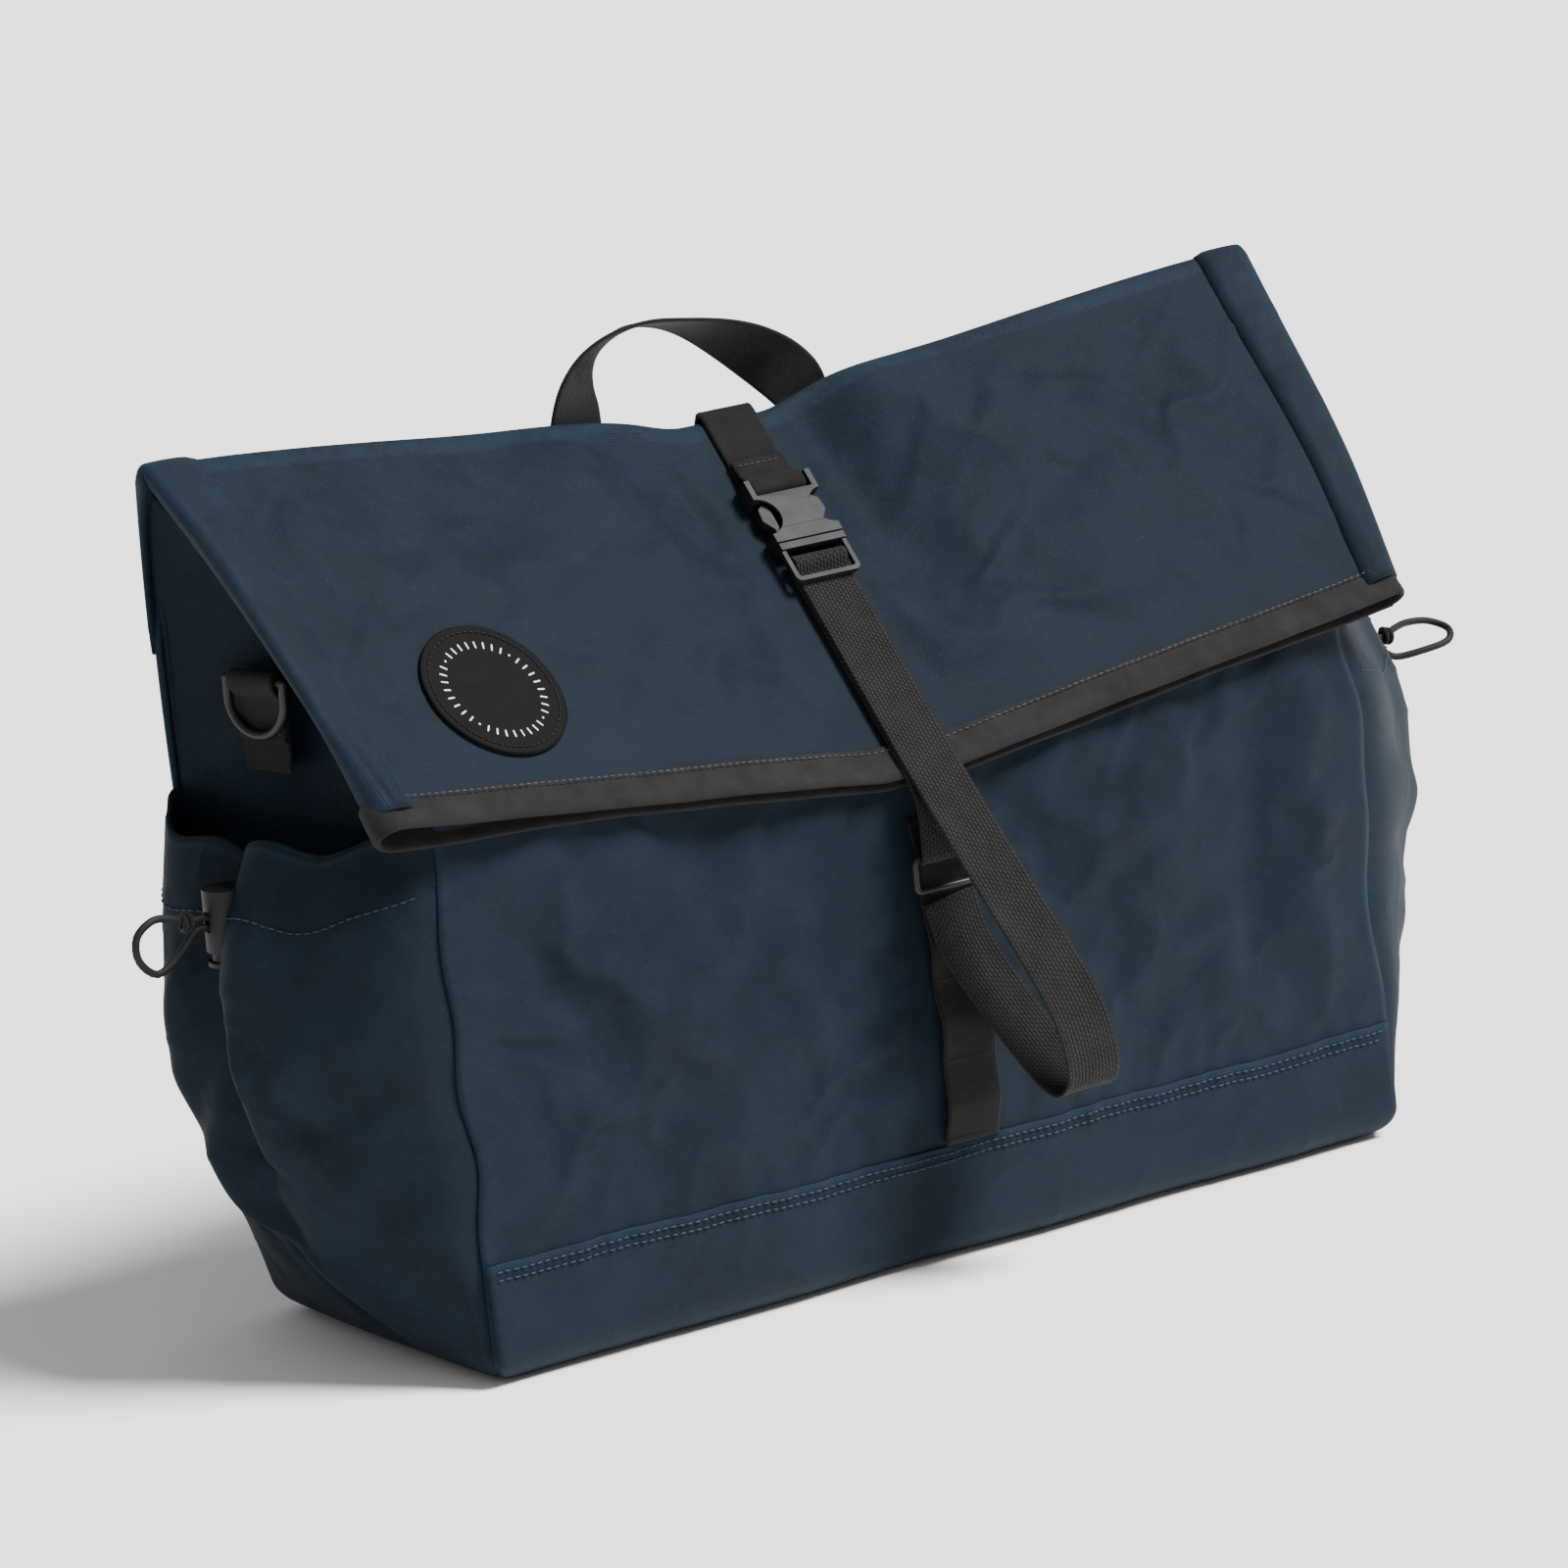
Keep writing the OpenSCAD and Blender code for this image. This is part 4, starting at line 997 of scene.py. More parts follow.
def make_strip(side, name):
    """The folded side of the flap, from its seam round to its underside, and its taper on the back."""
    turns = np.concatenate([[0, 0.03, 0.06, 0.09], np.linspace(0.13, 1, 24)])
    outer, inner = np.clip(turns / 0.5, 0, 1), np.clip((turns - 0.5) / 0.5, 0, 1)
    tuck = 1 - smooth(turns / 0.035)
    far_in = np.maximum(0, inner - 0.5)
    rows = []
    for w in np.linspace(0, 1, 16):
        z = mix(FOLD_H - TAPER, fold_z(np.array(TOP_W / 2)) - FOLD_TURN, w)
        x = mix(seam_half(z) + SEAM_LAP, back_half(z) + 0.2, outer) - TUCK_IN * tuck
        row = back_face(side * (x - 6 * far_in), np.full_like(x, z), 0.5)
        row[:, 1] -= 6.5 * np.sin(inner * np.pi / 2) * w**5 + TUCK_DOWN * tuck
        rows.append(row)
    corner_x = mix(SEAM_FOLD + SEAM_LAP, TOP_W / 2 - 2, outer)
    corner = stack(side * (corner_x - 8 * far_in - TUCK_IN * tuck), FOLD_Y + 0.2 - 5 * inner - tuck,
                   fold_z(side * corner_x) + 0.8 - 6 * inner - 1.8 * tuck)
    rows += bend_over(rows[-1], corner, strip_face(turns, START_V, side), 7)
    rows += [strip_face(turns, v, side) for v in np.linspace(START_V, BINDING_V * 0.5, 64)]
    rows = np.array(rows)
    wear = 0.30 * bell(turns, 0.55, 0.12) + 0.25 * bell(turns, 0, 0.03)
    piece = cloth_sheet(name, rows, NAVY, wear=wear[None, :], flip=side < 0)
    over_fold(piece, "waxed_cloth", CLOTH_BEND, name)


def make_flap_inner():
    """The lower layer of the folded tube, seen at the mouth and when the flap is open."""
    across = np.linspace(-1, 1, 121)
    rows = []
    for v in np.linspace(0.02, 0.955, 52):
        x = across * mix(SEAM_EDGE, SEAM_FOLD, v)
        gap = flap_gap(v, x)
        relief = 0.6 * flap_relief(x, np.full_like(x, (1 - v) * SLOPE_LEN))
        rows.append(flap_plain(across * (SEAM_EDGE + 2), across * (SEAM_FOLD + 2), np.full_like(x, v),
                               relief * (1 - smooth((0.2 - v) / 0.2)) - gap - CLOTH))
    piece = cloth_sheet("flap_inner_cloth", np.array(rows), NAVY, thick=1.2)
    settle(piece, "flap", "lining_cloth", "flap_inner")


def mouth_path(count=420):
    """Middle of the bound edge round the flattened mouth, with the directions up the cloth and out."""
    half = FLAP_W / 2
    t = np.linspace(0, 1, count, endpoint=False)
    points, outs = [], []
    for w in t:
        if w < 0.47:
            x, layer = mix(-half + 4, half - 3, w / 0.47), 0.0
        elif w < 0.5:
            x, layer = half - 3, (w - 0.47) / 0.03
        elif w < 0.97:
            x, layer = mix(half - 3, -half + 4, (w - 0.5) / 0.47), 1.0
        else:
            x, layer = -half + 4, 1 - (w - 0.97) / 0.03
        gap = float(flap_gap(np.array(0.0), np.array(x))) + 1.0
        side = 1 if x > 0 else -1
        turn = layer * np.pi if 0 < layer < 1 else (0 if layer == 0 else np.pi)
        reach = gap / 2 * math.sin(turn)
        lift = -gap / 2 * (1 - math.cos(turn))
        share = (1 + math.cos(turn)) / 2
        lift += share * float(flap_relief(np.array(x * SEAM_EDGE * 2 / FLAP_W), np.array(SLOPE_LEN)))
        base = flap_plain(np.array(x + side * reach), np.array(x + side * reach), np.array(0.0),
                          np.array(lift))
        ripple = 0.5 * math.sin(x / 17) + 0.35 * math.sin(x / 7.3 + 1)
        sag = -1.2 * (layer if layer in (0, 1) else 0.5)
        points.append(base - DOWN * sag + OUT * (0.3 + ripple * (0.6 if layer else 0.3)))
        outs.append(OUT * math.cos(turn) + np.array([side, 0, 0]) * math.sin(turn))
    return np.array(points), np.array(outs)


def make_binding():
    """One tape folded over the mouth's raw edge, all the way round."""
    points, outs = mouth_path()
    outs = unit(outs)
    heading = unit(np.roll(points, -1, axis=0) - np.roll(points, 1, axis=0))
    outs = unit(outs - heading * (outs * heading).sum(1, keepdims=True))
    profile = [(BINDING_W, 0.25), (BINDING_W - 0.4, 1.0), (BINDING_W * 0.66, 1.15), (BINDING_W * 0.33, 1.15),
               (2.2, 1.3), (0.6, 1.15), (-0.4, 0.6), (-0.7, 0), (-0.4, -0.6), (0.6, -1.15), (2.2, -1.3),
               (BINDING_W * 0.5, -1.2), (BINDING_W - 3, -1.1), (BINDING_W - 2.6, -0.3)]
    rows, weave = [], []
    for p, o, s in zip(points, outs, distance_along(points)):
        ripple = 0.12 * math.sin(s / 3.1) + 0.1 * math.sin(s / 1.7 + 2)
        for rise, lift in profile:
            rows.append(p - DOWN * rise + o * (lift + ripple * (1 < rise < BINDING_W - 1)))
            weave.append([s, rise + 3 * lift, 0])
    sides = len(profile)
    faces = grid_faces(len(points) + 1, sides, around=True) % len(rows)
    piece = new_piece("mouth_binding", np.array(rows), faces, BINDING, np.array(weave))
    settle(piece, "flap", "binding", "outer_binding", "inner_binding", "left_binding", "right_binding")


def make_flap_stitches():
    x = np.linspace(-FLAP_W / 2 + 5, FLAP_W / 2 - 5, 400)

    def bound(a, b):
        relief = flap_relief(a * SEAM_EDGE * 2 / FLAP_W, np.full_like(a, SLOPE_LEN))
        return flap_plain(a, a, b, 1.55 + relief + 0.15 * np.sin(a / 17))

    sew("flap", "binding", "binding_stitches", bound, x, np.full_like(x, (BINDING_W - 2.6) / SLOPE_LEN),
        GREY_THREAD, pitch=3.1, length=2.2, thick=0.5)


PATCH_HALF = mix(SEAM_EDGE, SEAM_FOLD, PATCH_V)
# Radius and height of the disc's face, from its middle out and down over its rim.
PATCH_PROFILE = [(0.5, 1.9), (6, 1.9), (11, 1.9), (15, 1.9), (18, 1.9), (21.5, 1.95), (24.2, 1.9),
                 (25.2, 1.72), (26.2, 1.9), (27.4, 2.0), (28.2, 1.8), (28.5, 1.3), (28.5, 0.1)]
MARKS, MARK_R, MARK_POINTS = 36, 19.6, 10


def on_patch(dx, ds, lift):
    """A point of the flap by its place from the patch's middle, raised by lift."""
    dx, ds = np.broadcast_arrays(np.asarray(dx, float), np.asarray(ds, float))
    face = flap_face((PATCH_X + dx) / PATCH_HALF, PATCH_V + ds / SLOPE_LEN)
    return face + OUT * np.full_like(dx, lift)[..., None]


def make_patch():
    """Leather disc with a stitched rim and a ring of plain tick marks and dots."""
    ring = np.linspace(0, 2 * np.pi, 96, endpoint=False)
    rows = np.array([on_patch(r * np.cos(ring), r * np.sin(ring), h) for r, h in PATCH_PROFILE])
    faces = grid_faces(len(rows), len(ring), around=True)[:, ::-1].tolist()
    faces.append(list(range(len(ring))))
    weave = stack(rows[..., 0], rows[..., 1], 0.0).reshape(-1, 3)
    disc = new_piece("round_leather_patch", rows.reshape(-1, 3), faces, LEATHER, weave)
    settle(disc, "flap", "patch_leather", "round_patch")
    turn = np.linspace(0, 2 * np.pi, 300)
    sew("flap", "patch_leather", "patch_stitches",
        lambda a, b: on_patch(b * np.cos(a), b * np.sin(a), 1.95), turn, np.full_like(turn, 25.3),
        BLACK_THREAD, pitch=2.7, length=2.0, thick=0.5, outward=-1)
    outline = np.linspace(0, 2 * np.pi, MARK_POINTS, endpoint=False)
    c, s = np.cos(outline), np.sin(outline)
    points, faces = [], []
    for k in range(MARKS):
        angle = 2 * math.pi * (k + 0.5) / MARKS
        long, wide = (0.8, 0.8) if k % 9 == 4 else (3.0, 0.62)
        r = MARK_R + long / 2 * np.sign(c) * np.abs(c) ** 0.5
        off = wide / 2 * np.sign(s) * np.abs(s) ** 0.5
        dx = r * math.cos(angle) - off * math.sin(angle)
        ds = r * math.sin(angle) + off * math.cos(angle)
        base = len(points)
        points.extend(on_patch(dx, ds, 1.85))
        points.extend(on_patch(dx, ds, 2.06))
        faces += (grid_faces(2, MARK_POINTS, around=True) + base).tolist()
        faces.append([base + MARK_POINTS + q for q in range(MARK_POINTS)])
        faces.append([base + q for q in range(MARK_POINTS - 1, -1, -1)])
    marks = new_piece("patch_marks", np.array(points), faces, WHITE_INK, smooth_shade=False)
    settle(marks, "flap", "patch_leather")


# ---- Front, band, base and sides ----


def make_front():
    x = np.linspace(-BASE_W / 2 + 0.3, BASE_W / 2 - 0.3, 161)
    rows = [front_face(x, mix(1.5, edge_z(x) - 2, w)) for w in np.linspace(0, 1, 92)]
    top = rows[-1]
    for w in np.linspace(0, 1, 12)[1:]:
        lean = stack(0 * x, 34 * w**1.15, 34 * w - 7 * w * w)
        rows.append(top + lean)
    rows = np.array(rows)
    wear = np.zeros(rows.shape[:2]) + 0.35 * np.maximum(bell(x, -216, 3), bell(x, 216, 3))[None, :]
    wear = np.pad(wear, LIP_PAD, "edge")
    rows = tucked(rows, INTO_FRONT)
    piece = cloth_sheet("front_cloth", rows, NAVY, wear=wear)
    px, pz, down = rows[..., 0], rows[..., 2], np.arange(len(rows))[:, None]
    free = smooth((BASE_W / 2 - 7 - np.abs(px)) / 14) * smooth((np.abs(px - STRAP_X - 2) - 17) / 12)
    free = free * smooth((pz - BAND_H - 2) / 12) * smooth((92 - down) / 6)
    wrinkle(piece, rows.shape[:2], 0.016, free, cap=5.5)
    settle(piece, "bag", "waxed_cloth", "front_panel")


def make_band():
    """The second layer round the foot, its top edge turned in and sewn with two rows."""
    x = np.linspace(-BASE_W / 2 + 0.6, BASE_W / 2 - 0.6, 161)
    edge = BAND_H + 0.6 * np.sin(x / 31) + 0.3 * np.sin(x / 9)
    rows = [front_face(x, mix(1.2, edge, w), 1.1 + 1.2 * np.sin(np.pi * min(1, w * 1.1)) ** 0.7 * (1 - w))
            for w in np.linspace(0, 1, 26)]
    rows.append(front_face(x, edge + 0.5, 0.8))
    rows.append(front_face(x, edge + 0.7, 0.2))
    rows = tucked(np.array(rows), INTO_FRONT)
    wear = np.zeros(rows.shape[:2])
    wear[:4] += 0.3
    wear[24:27] += 0.35
    piece = cloth_sheet("front_band_cloth", rows, NAVY, thick=1.2, wear=wear)
    settle(piece, "bag", "waxed_cloth", "front_band")
    x = np.linspace(-BASE_W / 2 + 4, BASE_W / 2 - 4, 500)
    wave = 0.6 * np.sin(x / 31) + 0.3 * np.sin(x / 9)
    for k, drop in enumerate((2.4, 5.6)):
        sew("bag", "waxed_cloth", f"band_stitches_{k + 1}", lambda a, b: front_face(a, b, 1.25 + 0.1 * k),
            x, BAND_H + wave - drop, NAVY_THREAD, **SEAM)


def make_base():
    """Underside of the bag: cloth that sags a little between its rounded edges."""
    half_w, half_d = BASE_W / 2 - 3, BASE_D / 2 - 4
    straight_w, straight_d = half_w - 10, half_d - 10
    rows = []
    for w in np.linspace(-1, 1, 41):
        x = np.linspace(-1, 1, 81) * half_w
        y = np.full_like(x, w * half_d)
        edge = np.minimum(half_w - np.abs(x), half_d - np.abs(y))
        dx, dy = np.abs(x) - straight_w, np.abs(y) - straight_d
        corner = (dx > 0) & (dy > 0)
        pull = np.where(corner, np.maximum(dx, dy) / np.maximum(np.hypot(dx, dy), 1e-6), 1.0)
        x = np.sign(x) * np.where(corner, straight_w + dx * pull, np.abs(x)) * 0.985
        y = np.sign(y) * np.where(corner, straight_d + dy * pull, np.abs(y)) * 0.975
        rows.append(stack(x, y, 0.05 + round_in(edge + 3, FOOT_R) * 0.8))
    piece = cloth_sheet("base_cloth", np.array(rows), NAVY, thick=1.6, flip=True)
    settle(piece, "bag", "waxed_cloth", "base_panel")


def both_sides(piece, slot, name, *nodes):
    """Places a left-hand piece and its mirror image. name and nodes lack their left_ or right_."""
    twin = mirrored("right_" + name, piece)
    settle(piece, "bag", slot, *["left_" + n for n in nodes])
    settle(twin, "bag", slot, *["right_" + n for n in nodes])


def make_gussets():
    u = np.linspace(0.0, 1.0, 71)
    rows = np.array([gusset_face(u, mix(1.5, gusset_top(u) + 3, w)) for w in np.linspace(0, 1, 90)])
    rows = tucked(rows, INTO_LEFT)
    # The gusset takes the darker navy copy, which is painted shade.
    piece = cloth_sheet("left_gusset_cloth", rows, SHADED_NAVY)
    above = smooth((rows[..., 2] - POCKET_H) / 20) * smooth((gusset_top(0) - 8 - rows[..., 2]) / 14)
    ring = np.hypot(rows[..., 1] - RING_Y, rows[..., 2] - RING_Z + 12)
    side = smooth((rows[..., 1].max(axis=1, keepdims=True) - 7 - rows[..., 1]) / 10)
    wrinkle(piece, rows.shape[:2], 0.02, above * side * smooth((ring - 30) / 10), cap=3.0)
    both_sides(piece, "waxed_cloth", "gusset_cloth", "gusset")


def make_pockets():
    """Side pocket with its hem turned over the elastic: up the outside, over the mouth and down inside."""
    u = np.linspace(0.0, 1.0, 141)
    top = pocket_top(u)
    rows = [pocket_face(u, mix(2.5, top - 1.2, w), CLOTH) for w in np.linspace(0, 1, 104) ** 0.95]
    for c, s in arc(0, 181, 30):
        rows.append(pocket_face(u, top - 1.2 + 1.3 * s, CLOTH - 1.3 * (1 - c)))
    for w in np.linspace(0, 1, 12)[1:]:
        rows.append(pocket_face(u, top - 1.2 - 24 * w, CLOTH - 2.6 - 0.4 * w))
    rows = tucked(np.array(rows), INTO_LEFT)
    wear = np.zeros(rows.shape[:2])
    wear[102:110] += 0.42
    # The pocket takes the darker navy copy, which is painted shade.
    piece = cloth_sheet("left_pocket_cloth", rows, SHADED_NAVY, thick=0.9, wear=wear)
    down = np.arange(len(rows))[:, None]
    lock = np.hypot(rows[..., 1] - LOCK_Y, rows[..., 2] - LOCK_Z)
    uu = np.concatenate([[0, 0], u, [1, 1]])[None, :]
    free = smooth(down / 6) * smooth((98 - down) / 10) * smooth(uu / 0.07) * smooth((1 - uu) / 0.07)
    wrinkle(piece, rows.shape[:2], 0.09, free * smooth((lock - 14) / 10), frames=20, cap=8.0, bending=2.5)
    both_sides(piece, "waxed_cloth", "pocket_cloth", "pocket", "pocket_hem", "hem_elastic")
    for k, (start, end) in enumerate(((0.05, LOCK_U - 0.1), (LOCK_U + 0.1, 0.985))):
        run = np.linspace(start, end, 160)
        row = stitches(f"left_hem_stitches_{k + 1}", lambda a, b: pocket_face(a, b, CLOTH), run,
                       pocket_top(run) - HEM_H, NAVY_THREAD, **SEAM)
        both_sides(row, "waxed_cloth", f"hem_stitches_{k + 1}")


# ---- Inside ----


def make_lining():
    x = np.linspace(-BASE_W / 2 + 12, BASE_W / 2 - 12, 61)
    rows = np.array([front_face(x, mix(8, edge_z(x) - 8, w), -CLOTH - 1.2) for w in np.linspace(0, 1, 40)])
    rows[..., 1] += 0.8
    piece = cloth_sheet("front_lining_cloth", rows, LINING, thick=0.8)
    settle(piece, "bag", "lining_cloth", "front_lining")


def make_sleeve():
    """Computer sleeve against the back: a cloth front with a bound, slightly slack mouth."""
    half, low, high = 165, 12, 225
    across = np.linspace(-1, 1, 81)
    rows = []
    for w in np.linspace(0, 1, 44):
        z = mix(low, high, w)
        slack = 2.5 * w**2 * np.cos(across * np.pi / 2) ** 2
        side = smooth((np.abs(across) - 0.93) / 0.07)
        x = np.sign(across) * np.minimum(half, np.abs(across) * (half + 12))
        rows.append(stack(x, back_y(z) - 22.8 - slack + 13.5 * side, z + 0 * x))
    for k in range(4):
        rows.append(rows[43] + stack(0 * across, 0.7 * k, (0.9, 1.1, 0.4, -6)[k] + 0 * across))
    piece = cloth_sheet("sleeve_cloth", np.array(rows), LINING, thick=0.9)
    settle(piece, "bag", "lining_cloth", "inner_sleeve")


def make_back_pad():
    """Foam pad behind its cover, swollen by a short cloth simulation and quilted in three channels."""
    half, low, high = BASE_W / 2 - 24, 12, 284
    nx, nz = 64, 44
    columns = nx + 1
    x = mix(-half, half, np.arange(columns) / nx)[None, :]
    z = mix(low, high, np.arange(nz + 1) / nz)[:, None]
    sheets = [stack(x, back_y(z) - stand, z).reshape(-1, 3) for stand in (6.6, 4.2)]
    n = len(sheets[0])
    quads = grid_faces(nz + 1, columns)
    faces = quads.tolist() + (quads[:, ::-1] + n).tolist()
    rim = list(range(columns)) + [(j + 1) * columns - 1 for j in range(1, nz + 1)]
    rim += [nz * columns + i for i in range(nx - 1, -1, -1)] + [j * columns for j in range(nz - 1, 0, -1)]
    faces += [[b, a, a + n, b + n] for a, b in zip(rim, rim[1:] + rim[:1])]
    mesh = bpy.data.meshes.new("back_pad_cushion")
    mesh.from_pydata((np.concatenate(sheets) * MM).tolist(), [], faces)
    pad = put_in_scene("back_pad_cushion", mesh)
    channels = (0, nx // 4, nx // 2, 3 * nx // 4, nx)
    held = [i for i in range(2 * n) if i >= n or i % columns in channels or i // columns in (0, nz)]
    inflate(pad, held, 1.6, frames=14, cap=3.2)
    rest = np.array([v.co for v in mesh.vertices]) / MM
    put_vectors(mesh, "rest_mm", rest)
    put_vectors(mesh, "weave_mm", rest[:, [0, 2, 1]])
    put_floats(mesh, "wear", np.zeros(len(rest)))
    mesh.materials.append(FOAM)
    mesh.polygons.foreach_set("use_smooth", [True] * len(mesh.polygons))
    settle(pad, "bag", "foam", "back_pad")


def inflate(piece, held, pressure, frames, cap):
    """Lets a piece swell as cloth with its held points pinned, no point by more than cap millimetres."""
    before, moved = simulate(piece, held, frames, use_pressure=True,
                             uniform_pressure_force=pressure, quality=5)
    far = np.linalg.norm(moved, axis=1, keepdims=True)
    moved = moved * np.minimum(1, cap * MM / np.maximum(far, 1e-9))
    piece.data.vertices.foreach_set("co", (before + moved).ravel())
    piece.data.update()


# ---- Webbing ----


def flat_across(line):
    return np.tile([1.0, 0, 0], (len(line), 1))


def arc(start, stop, step):
    """Cosine and sine of the angles from start to below stop, in degrees."""
    return [(math.cos(math.radians(a)), math.sin(math.radians(a))) for a in range(start, stop, step)]


def make_top_strap():
    """Sewn to the back, over the fold and round the female half's bar, with its end sewn down."""
    r, bar_h = 3.0 / 2 + WEB_T / 2 + 0.7, 4.9
    line = [np.array([STRAP_X, back_y(z) + 1.2, z]) for z in (fold_z(0) - 12, fold_z(0) - 6)]
    line += [np.array([STRAP_X, FOLD_Y + 0.6, fold_z(0) + 0.4])]
    line += [slope_point(s, 1.15) for s in (2, 14, 26, 36)] + [slope_point(BUCKLE_S - 2, bar_h - r + 0.1)]
    line += [slope_point(BUCKLE_S + r * c, bar_h + r * s) for c, s in arc(-90, 61, 15)]
    line += [slope_point(BUCKLE_S - 3, bar_h + r - 0.3), slope_point(36.5, 4.6)]
    line = np.array(line + [slope_point(31, 3.4), slope_point(27, 3.2)])
    piece = webbing("top_strap_webbing", line, flat_across(line), FINE_WEB, step=1.2, soften=1)
    over_fold(piece, "webbing", STRAP_BEND, "top_strap")
    x = np.linspace(STRAP_X - 11, STRAP_X + 11, 60)
    for k, (s, h, pitch, long) in enumerate(((29.5, 4.2, 2.8, 2.1), (38.2, 6.1, 1.9, 1.3))):
        sew("flap", "webbing", f"strap_stitches_{k + 1}",
            lambda a, b: np.array([slope_point(s + q, h, p) for p, q in zip(a, b)]),
            x, np.zeros_like(x), GREY_THREAD, pitch=pitch, length=long, thick=0.45, outward=-1)


SLACK_ROUTE = [(0, -75.6, 146), (3, -80, 128), (10, -90, 108), (17, -101, 90), (22, -111, 77),
               (25, -119, 72), (26, -126, 76), (25, -128, 88), (21, -126, 106), (14, -118, 128),
               (7, -105, 152), (2, -90, 175)]
HOOK_Y, HOOK_Z, HOOK_WIRE = -75, 163, 2.6
MALE_S = BUCKLE_S + 27 + 0.6
BAR_B_S, BAR_C_S = MALE_S + 8.6, MALE_S + 16.4


def make_adjuster():
    """One strip: slack loop, tail up the flap, over the ladder lock's bar, back down and round the hook."""
    r, bar_h = 1.5 + WEB_T / 2 + 0.35, 5.7
    hook_r = HOOK_WIRE / 2 + WEB_T / 2 + 0.3
    upper = (SLOPE_LEN - 8, SLOPE_LEN - 30, 130, BAR_C_S + 12, BAR_C_S + 3)
    lower = (BAR_B_S + 4, BAR_C_S + 10, 130, SLOPE_LEN - 30, SLOPE_LEN - 8, SLOPE_LEN - 1)
    line = list(spline([(STRAP_X + x, y, z) for x, y, z in SLACK_ROUTE], 6))
    line += [slope_point(s, 4.0) for s in upper] + [slope_point(BAR_C_S - 1.5, 4.2)]
    line += [slope_point(BAR_B_S + r * c, bar_h + r * s) for c, s in arc(-15, 166, 15)]
    line += [slope_point(BAR_B_S - 2.8, bar_h - 2), slope_point(BAR_B_S - 0.4, 2.4)]
    line += [slope_point(s, 1.9) for s in lower]
    line += [(STRAP_X, HOOK_Y - y, z) for y, z in ((0.4, 186), (2, 178), (hook_r, 169))]
    line += [(STRAP_X, HOOK_Y + hook_r * c, HOOK_Z + hook_r * s) for c, s in arc(180, 331, 15)]
    line = np.array(line)
    piece = webbing("adjuster_webbing", line, flat_across(line), RIB_WEB, step=1.3, soften=2)
    settle(piece, "front_strap", "webbing", "adjuster_strap")


def make_daisy_tape():
    """Tape sewn down the front with bartacks, standing off as hooking loops between them."""
    pitch, low, x = 32, BAND_H + 1, STRAP_X + 2
    z = np.linspace(low, DAISY_TOP, 120)
    stand = 2.4 * np.sin(np.pi * (z - low) / pitch) ** 2
    y = front_face(np.full_like(z, x), z)[:, 1] - SEWN - WEB_T / 2 - stand
    line = stack(x, y, z)
    piece = webbing("daisy_webbing", line, flat_across(line), FINE_WEB, step=1.6)
    settle(piece, "bag", "webbing", "daisy_tape")

    def on_tape(a, b):
        return front_face(np.full_like(a, x), b) * (0, 1, 1) + stack(a, -SEWN - WEB_T, 0)

    across = np.linspace(x - 10.5, x + 10.5, 60)
    for k, at in enumerate(low + 2.2 + np.arange(4) * pitch * 0.995):
        for j, shift in enumerate((0.0, 1.5)):
            sew("bag", "webbing", f"daisy_bartack_{k + 1}_{j + 1}", on_tape, across,
                np.full_like(across, at + shift), BLACK_THREAD, **BARTACK)


HANDLE_Z, HANDLE_HALF = 314, 54
HANDLE_ROUTE = [(-54, 0, 1), (-53, 0.3, 12), (-50, 1.2, 24), (-43, 2.6, 34), (-32, 3.6, 41), (-18, 4.2, 44),
                (-3, 4.2, 42), (12, 3.8, 37), (27, 3, 29), (41, 1.6, 19), (51, 0.4, 9), (54, 0, 1)]


def anchor_line(x, low, high, count):
    """A line up the back's cloth, for webbing that is sewn to it."""
    z = np.linspace(low, high, count)
    return stack(x, back_y(z) + SEWN + WEB_T / 2 + back_relief(np.full_like(z, x), z), z)


def make_handle():
    """Grab handle that twists edge-on as it crosses the top, and the webbing sewn to the back."""
    line = spline(HANDLE_ROUTE, 8) + (HANDLE_X, back_y(HANDLE_Z) + 3.4, HANDLE_Z)
    heading = unit(np.gradient(line, axis=0))
    flat = unit(np.cross(heading, np.tile([0, -1.0, 0], (len(line), 1))))
    twist = np.radians(78 * np.sin(np.pi * np.linspace(0, 1, len(line))) ** 2)[:, None]
    across = flat * np.cos(twist) + np.array([0, 1.0, 0]) * np.sin(twist)
    piece = webbing("grab_handle_webbing", line, across, FINE_WEB, step=1.4, soften=3)
    settle(piece, "handle", "webbing", "grab_handle")
    for k, side in enumerate((-1, 1)):
        x = HANDLE_X + side * HANDLE_HALF
        line = anchor_line(x, HANDLE_Z - 36, HANDLE_Z - 1.5, 24)
        piece = webbing(f"handle_anchor_{k + 1}", line, flat_across(line), FINE_WEB, step=1.6)
        settle(piece, "bag", "webbing", *(["handle_anchors"] if k == 0 else []))
        box_stitch(f"handle_box_stitch_{k + 1}", x, HANDLE_Z - 34, HANDLE_Z - 14)
    line = anchor_line(STRAP_X, 236, float(fold_z(0)) - 8, 40)
    piece = webbing("strap_anchor_webbing", line, flat_across(line), FINE_WEB, step=1.6)
    settle(piece, "bag", "webbing", "strap_anchor")
    box_stitch("strap_box_stitch", STRAP_X, 238, 262)


def box_stitch(name, x, low, high):
    """A sewn box with a diagonal, on webbing that lies on the back."""
    left, right = x - 10.5, x + 10.5
    corners = [(left, low), (right, low), (right, high), (left, high), (left, low), (right, high)]
    path = resample(np.array([(a, b, 0) for a, b in corners], float), 0.5)
    sew("bag", "webbing", name, lambda a, b: back_face(a, b, SEWN + WEB_T + 0.05), path[:, 0], path[:, 1],
        BLACK_THREAD, **BOX_SEAM, outward=-1)


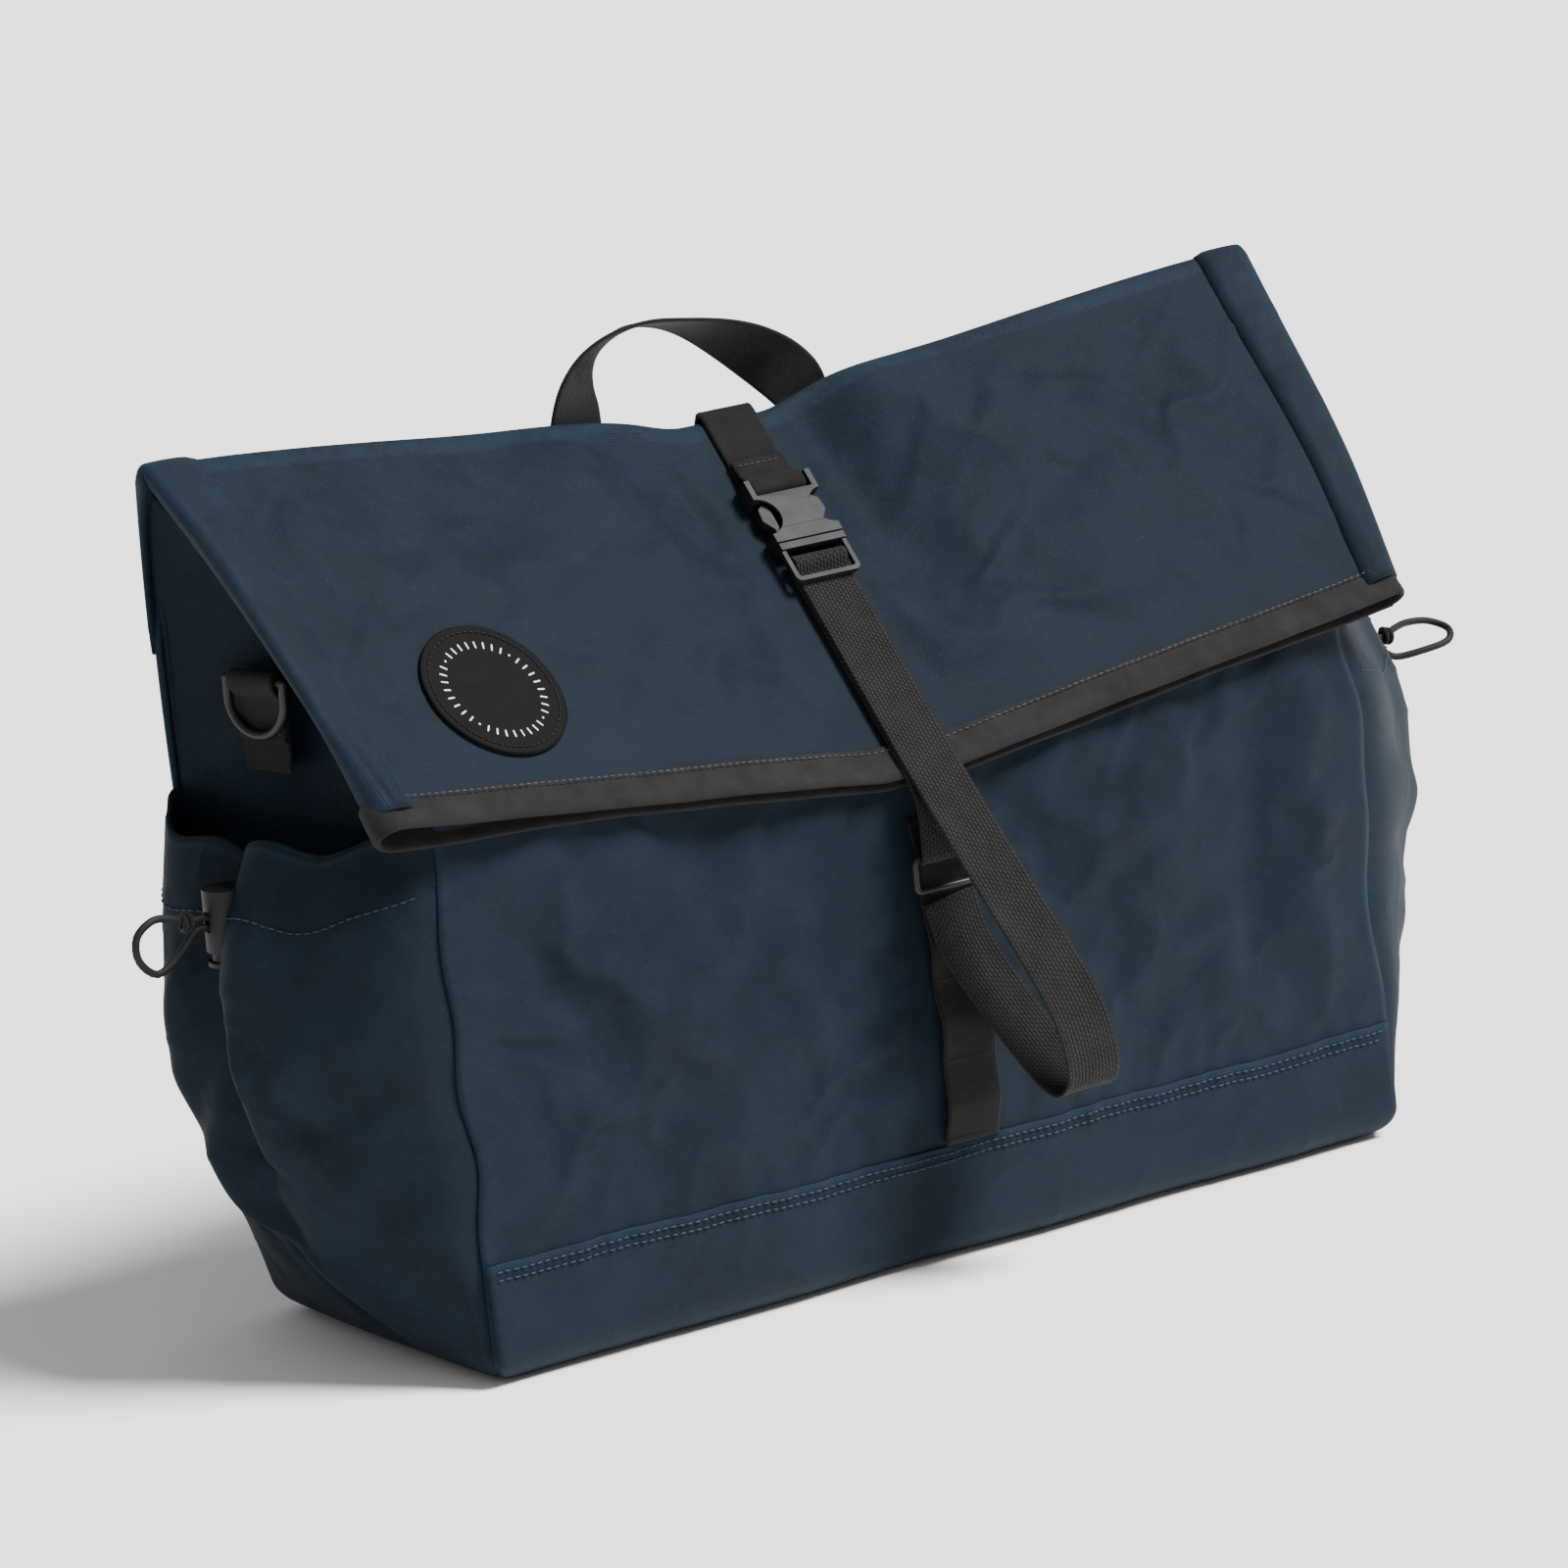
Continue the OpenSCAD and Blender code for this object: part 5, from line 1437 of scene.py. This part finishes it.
def make_ring_tabs():
    """Webbing rolled round each ring's bar, with its two ends sewn to the gusset."""
    turn = math.radians(RING_TURN)
    inward = np.array([math.cos(turn), math.sin(turn), 0])
    along = np.array([-math.sin(turn), math.cos(turn), 0])
    centre, up = np.array([RING_X, RING_Y, RING_Z], float), np.array([0, 0, 1.0])
    r = 1.8 + 0.4 + WEB_T / 2
    route = [(4.4, -36), (4.4, -20), (4.0, -9)] + [(r * c, r * s) for c, s in arc(-20, 201, 20)]
    route += [(-1.9, -3.4), (1.4, -6.6), (2.6, -14), (2.6, -24)]
    line = np.array([centre + inward * a + up * b for a, b in route])
    piece = webbing("left_ring_webbing", line, np.tile(along, (len(line), 1)), FINE_WEB, width=24,
                    step=1.1, soften=1)
    both_sides(piece, "webbing", "ring_webbing", "ring_tab")
    across = np.linspace(-10, 10, 60)
    foot = centre + inward * 1.7 + up * -20.5
    row = stitches("left_ring_bartack", lambda a, b: foot + along * a[:, None] + up * b[:, None],
                   across, np.zeros_like(across), GREY_THREAD, pitch=1.9, length=1.5, thick=0.5, outward=-1)
    both_sides(row, "webbing", "ring_bartack")


# ---- Hardware keeps its CAD shape and gets a finish ----


def dress(node_name, material, bevel=0.0):
    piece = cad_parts[node_name]
    piece.data.materials.clear()
    piece.data.materials.append(material)
    if bevel:
        weld = piece.modifiers.new("weld", "WELD")
        weld.merge_threshold = 1e-6
        round_edges = piece.modifiers.new("edges", "BEVEL")
        round_edges.width, round_edges.segments = bevel * MM, 3
        round_edges.limit_method, round_edges.angle_limit = "ANGLE", math.radians(40)
        round_edges.harden_normals = False
    return piece


def dress_hardware():
    for name in ("buckle_female", "buckle_male", "left_prong", "right_prong"):
        dress(name, PLASTIC, 0.35)
    for side in ("left", "right"):
        dress(f"{side}_lock_barrel", PLASTIC, 0.4)
        dress(f"{side}_lock_plunger", PLASTIC, 0.4)
        dress(f"{side}_d_ring", METAL)
    dress("strap_hook", METAL)
    dress("base_board", BOARD)


# ---- Floor and lights ----


FLOOR_HALF = 40  # metres


def make_stage():
    """Plain pale floor, even white surroundings and one soft key light."""
    floor_mesh = bpy.data.meshes.new("floor")
    corners = [(x * FLOOR_HALF, y * FLOOR_HALF, 0) for x, y in ((-1, -1), (1, -1), (1, 1), (-1, 1))]
    floor_mesh.from_pydata(corners, [], [(0, 1, 2, 3)])
    floor = put_in_scene("floor", floor_mesh)
    floor.location.z = -0.0004
    material = bpy.data.materials.new("pale_floor")
    material.use_nodes = True
    shader = material.node_tree.nodes["Principled BSDF"]
    shader.inputs["Base Color"].default_value = (0.93, 0.93, 0.93, 1)
    shader.inputs["Roughness"].default_value = 0.9
    floor_mesh.materials.append(material)
    world = bpy.data.worlds.new("studio")
    bpy.context.scene.world = world
    world.use_nodes = True
    background = world.node_tree.nodes["Background"]
    background.inputs["Color"].default_value = (1.0, 1.0, 1.0, 1)
    background.inputs["Strength"].default_value = 0.46
    sun_data = bpy.data.lights.new("key", "SUN")
    sun_data.energy, sun_data.angle = 8.9, math.radians(20)
    sun = put_in_scene("key", sun_data)
    sun.rotation_euler = (-Vector((0.62, -0.62, 1.25))).to_track_quat("-Z", "Y").to_euler()


make_back_and_flap()
make_strip(-1, "flap_left_edge")
make_strip(1, "flap_right_edge")
make_flap_inner()
make_binding()
make_flap_stitches()
make_patch()
make_front()
make_band()
make_base()
make_gussets()
make_pockets()
make_lining()
make_sleeve()
make_back_pad()
make_top_strap()
make_adjuster()
make_daisy_tape()
make_handle()
make_ring_tabs()
dress_hardware()
make_stage()
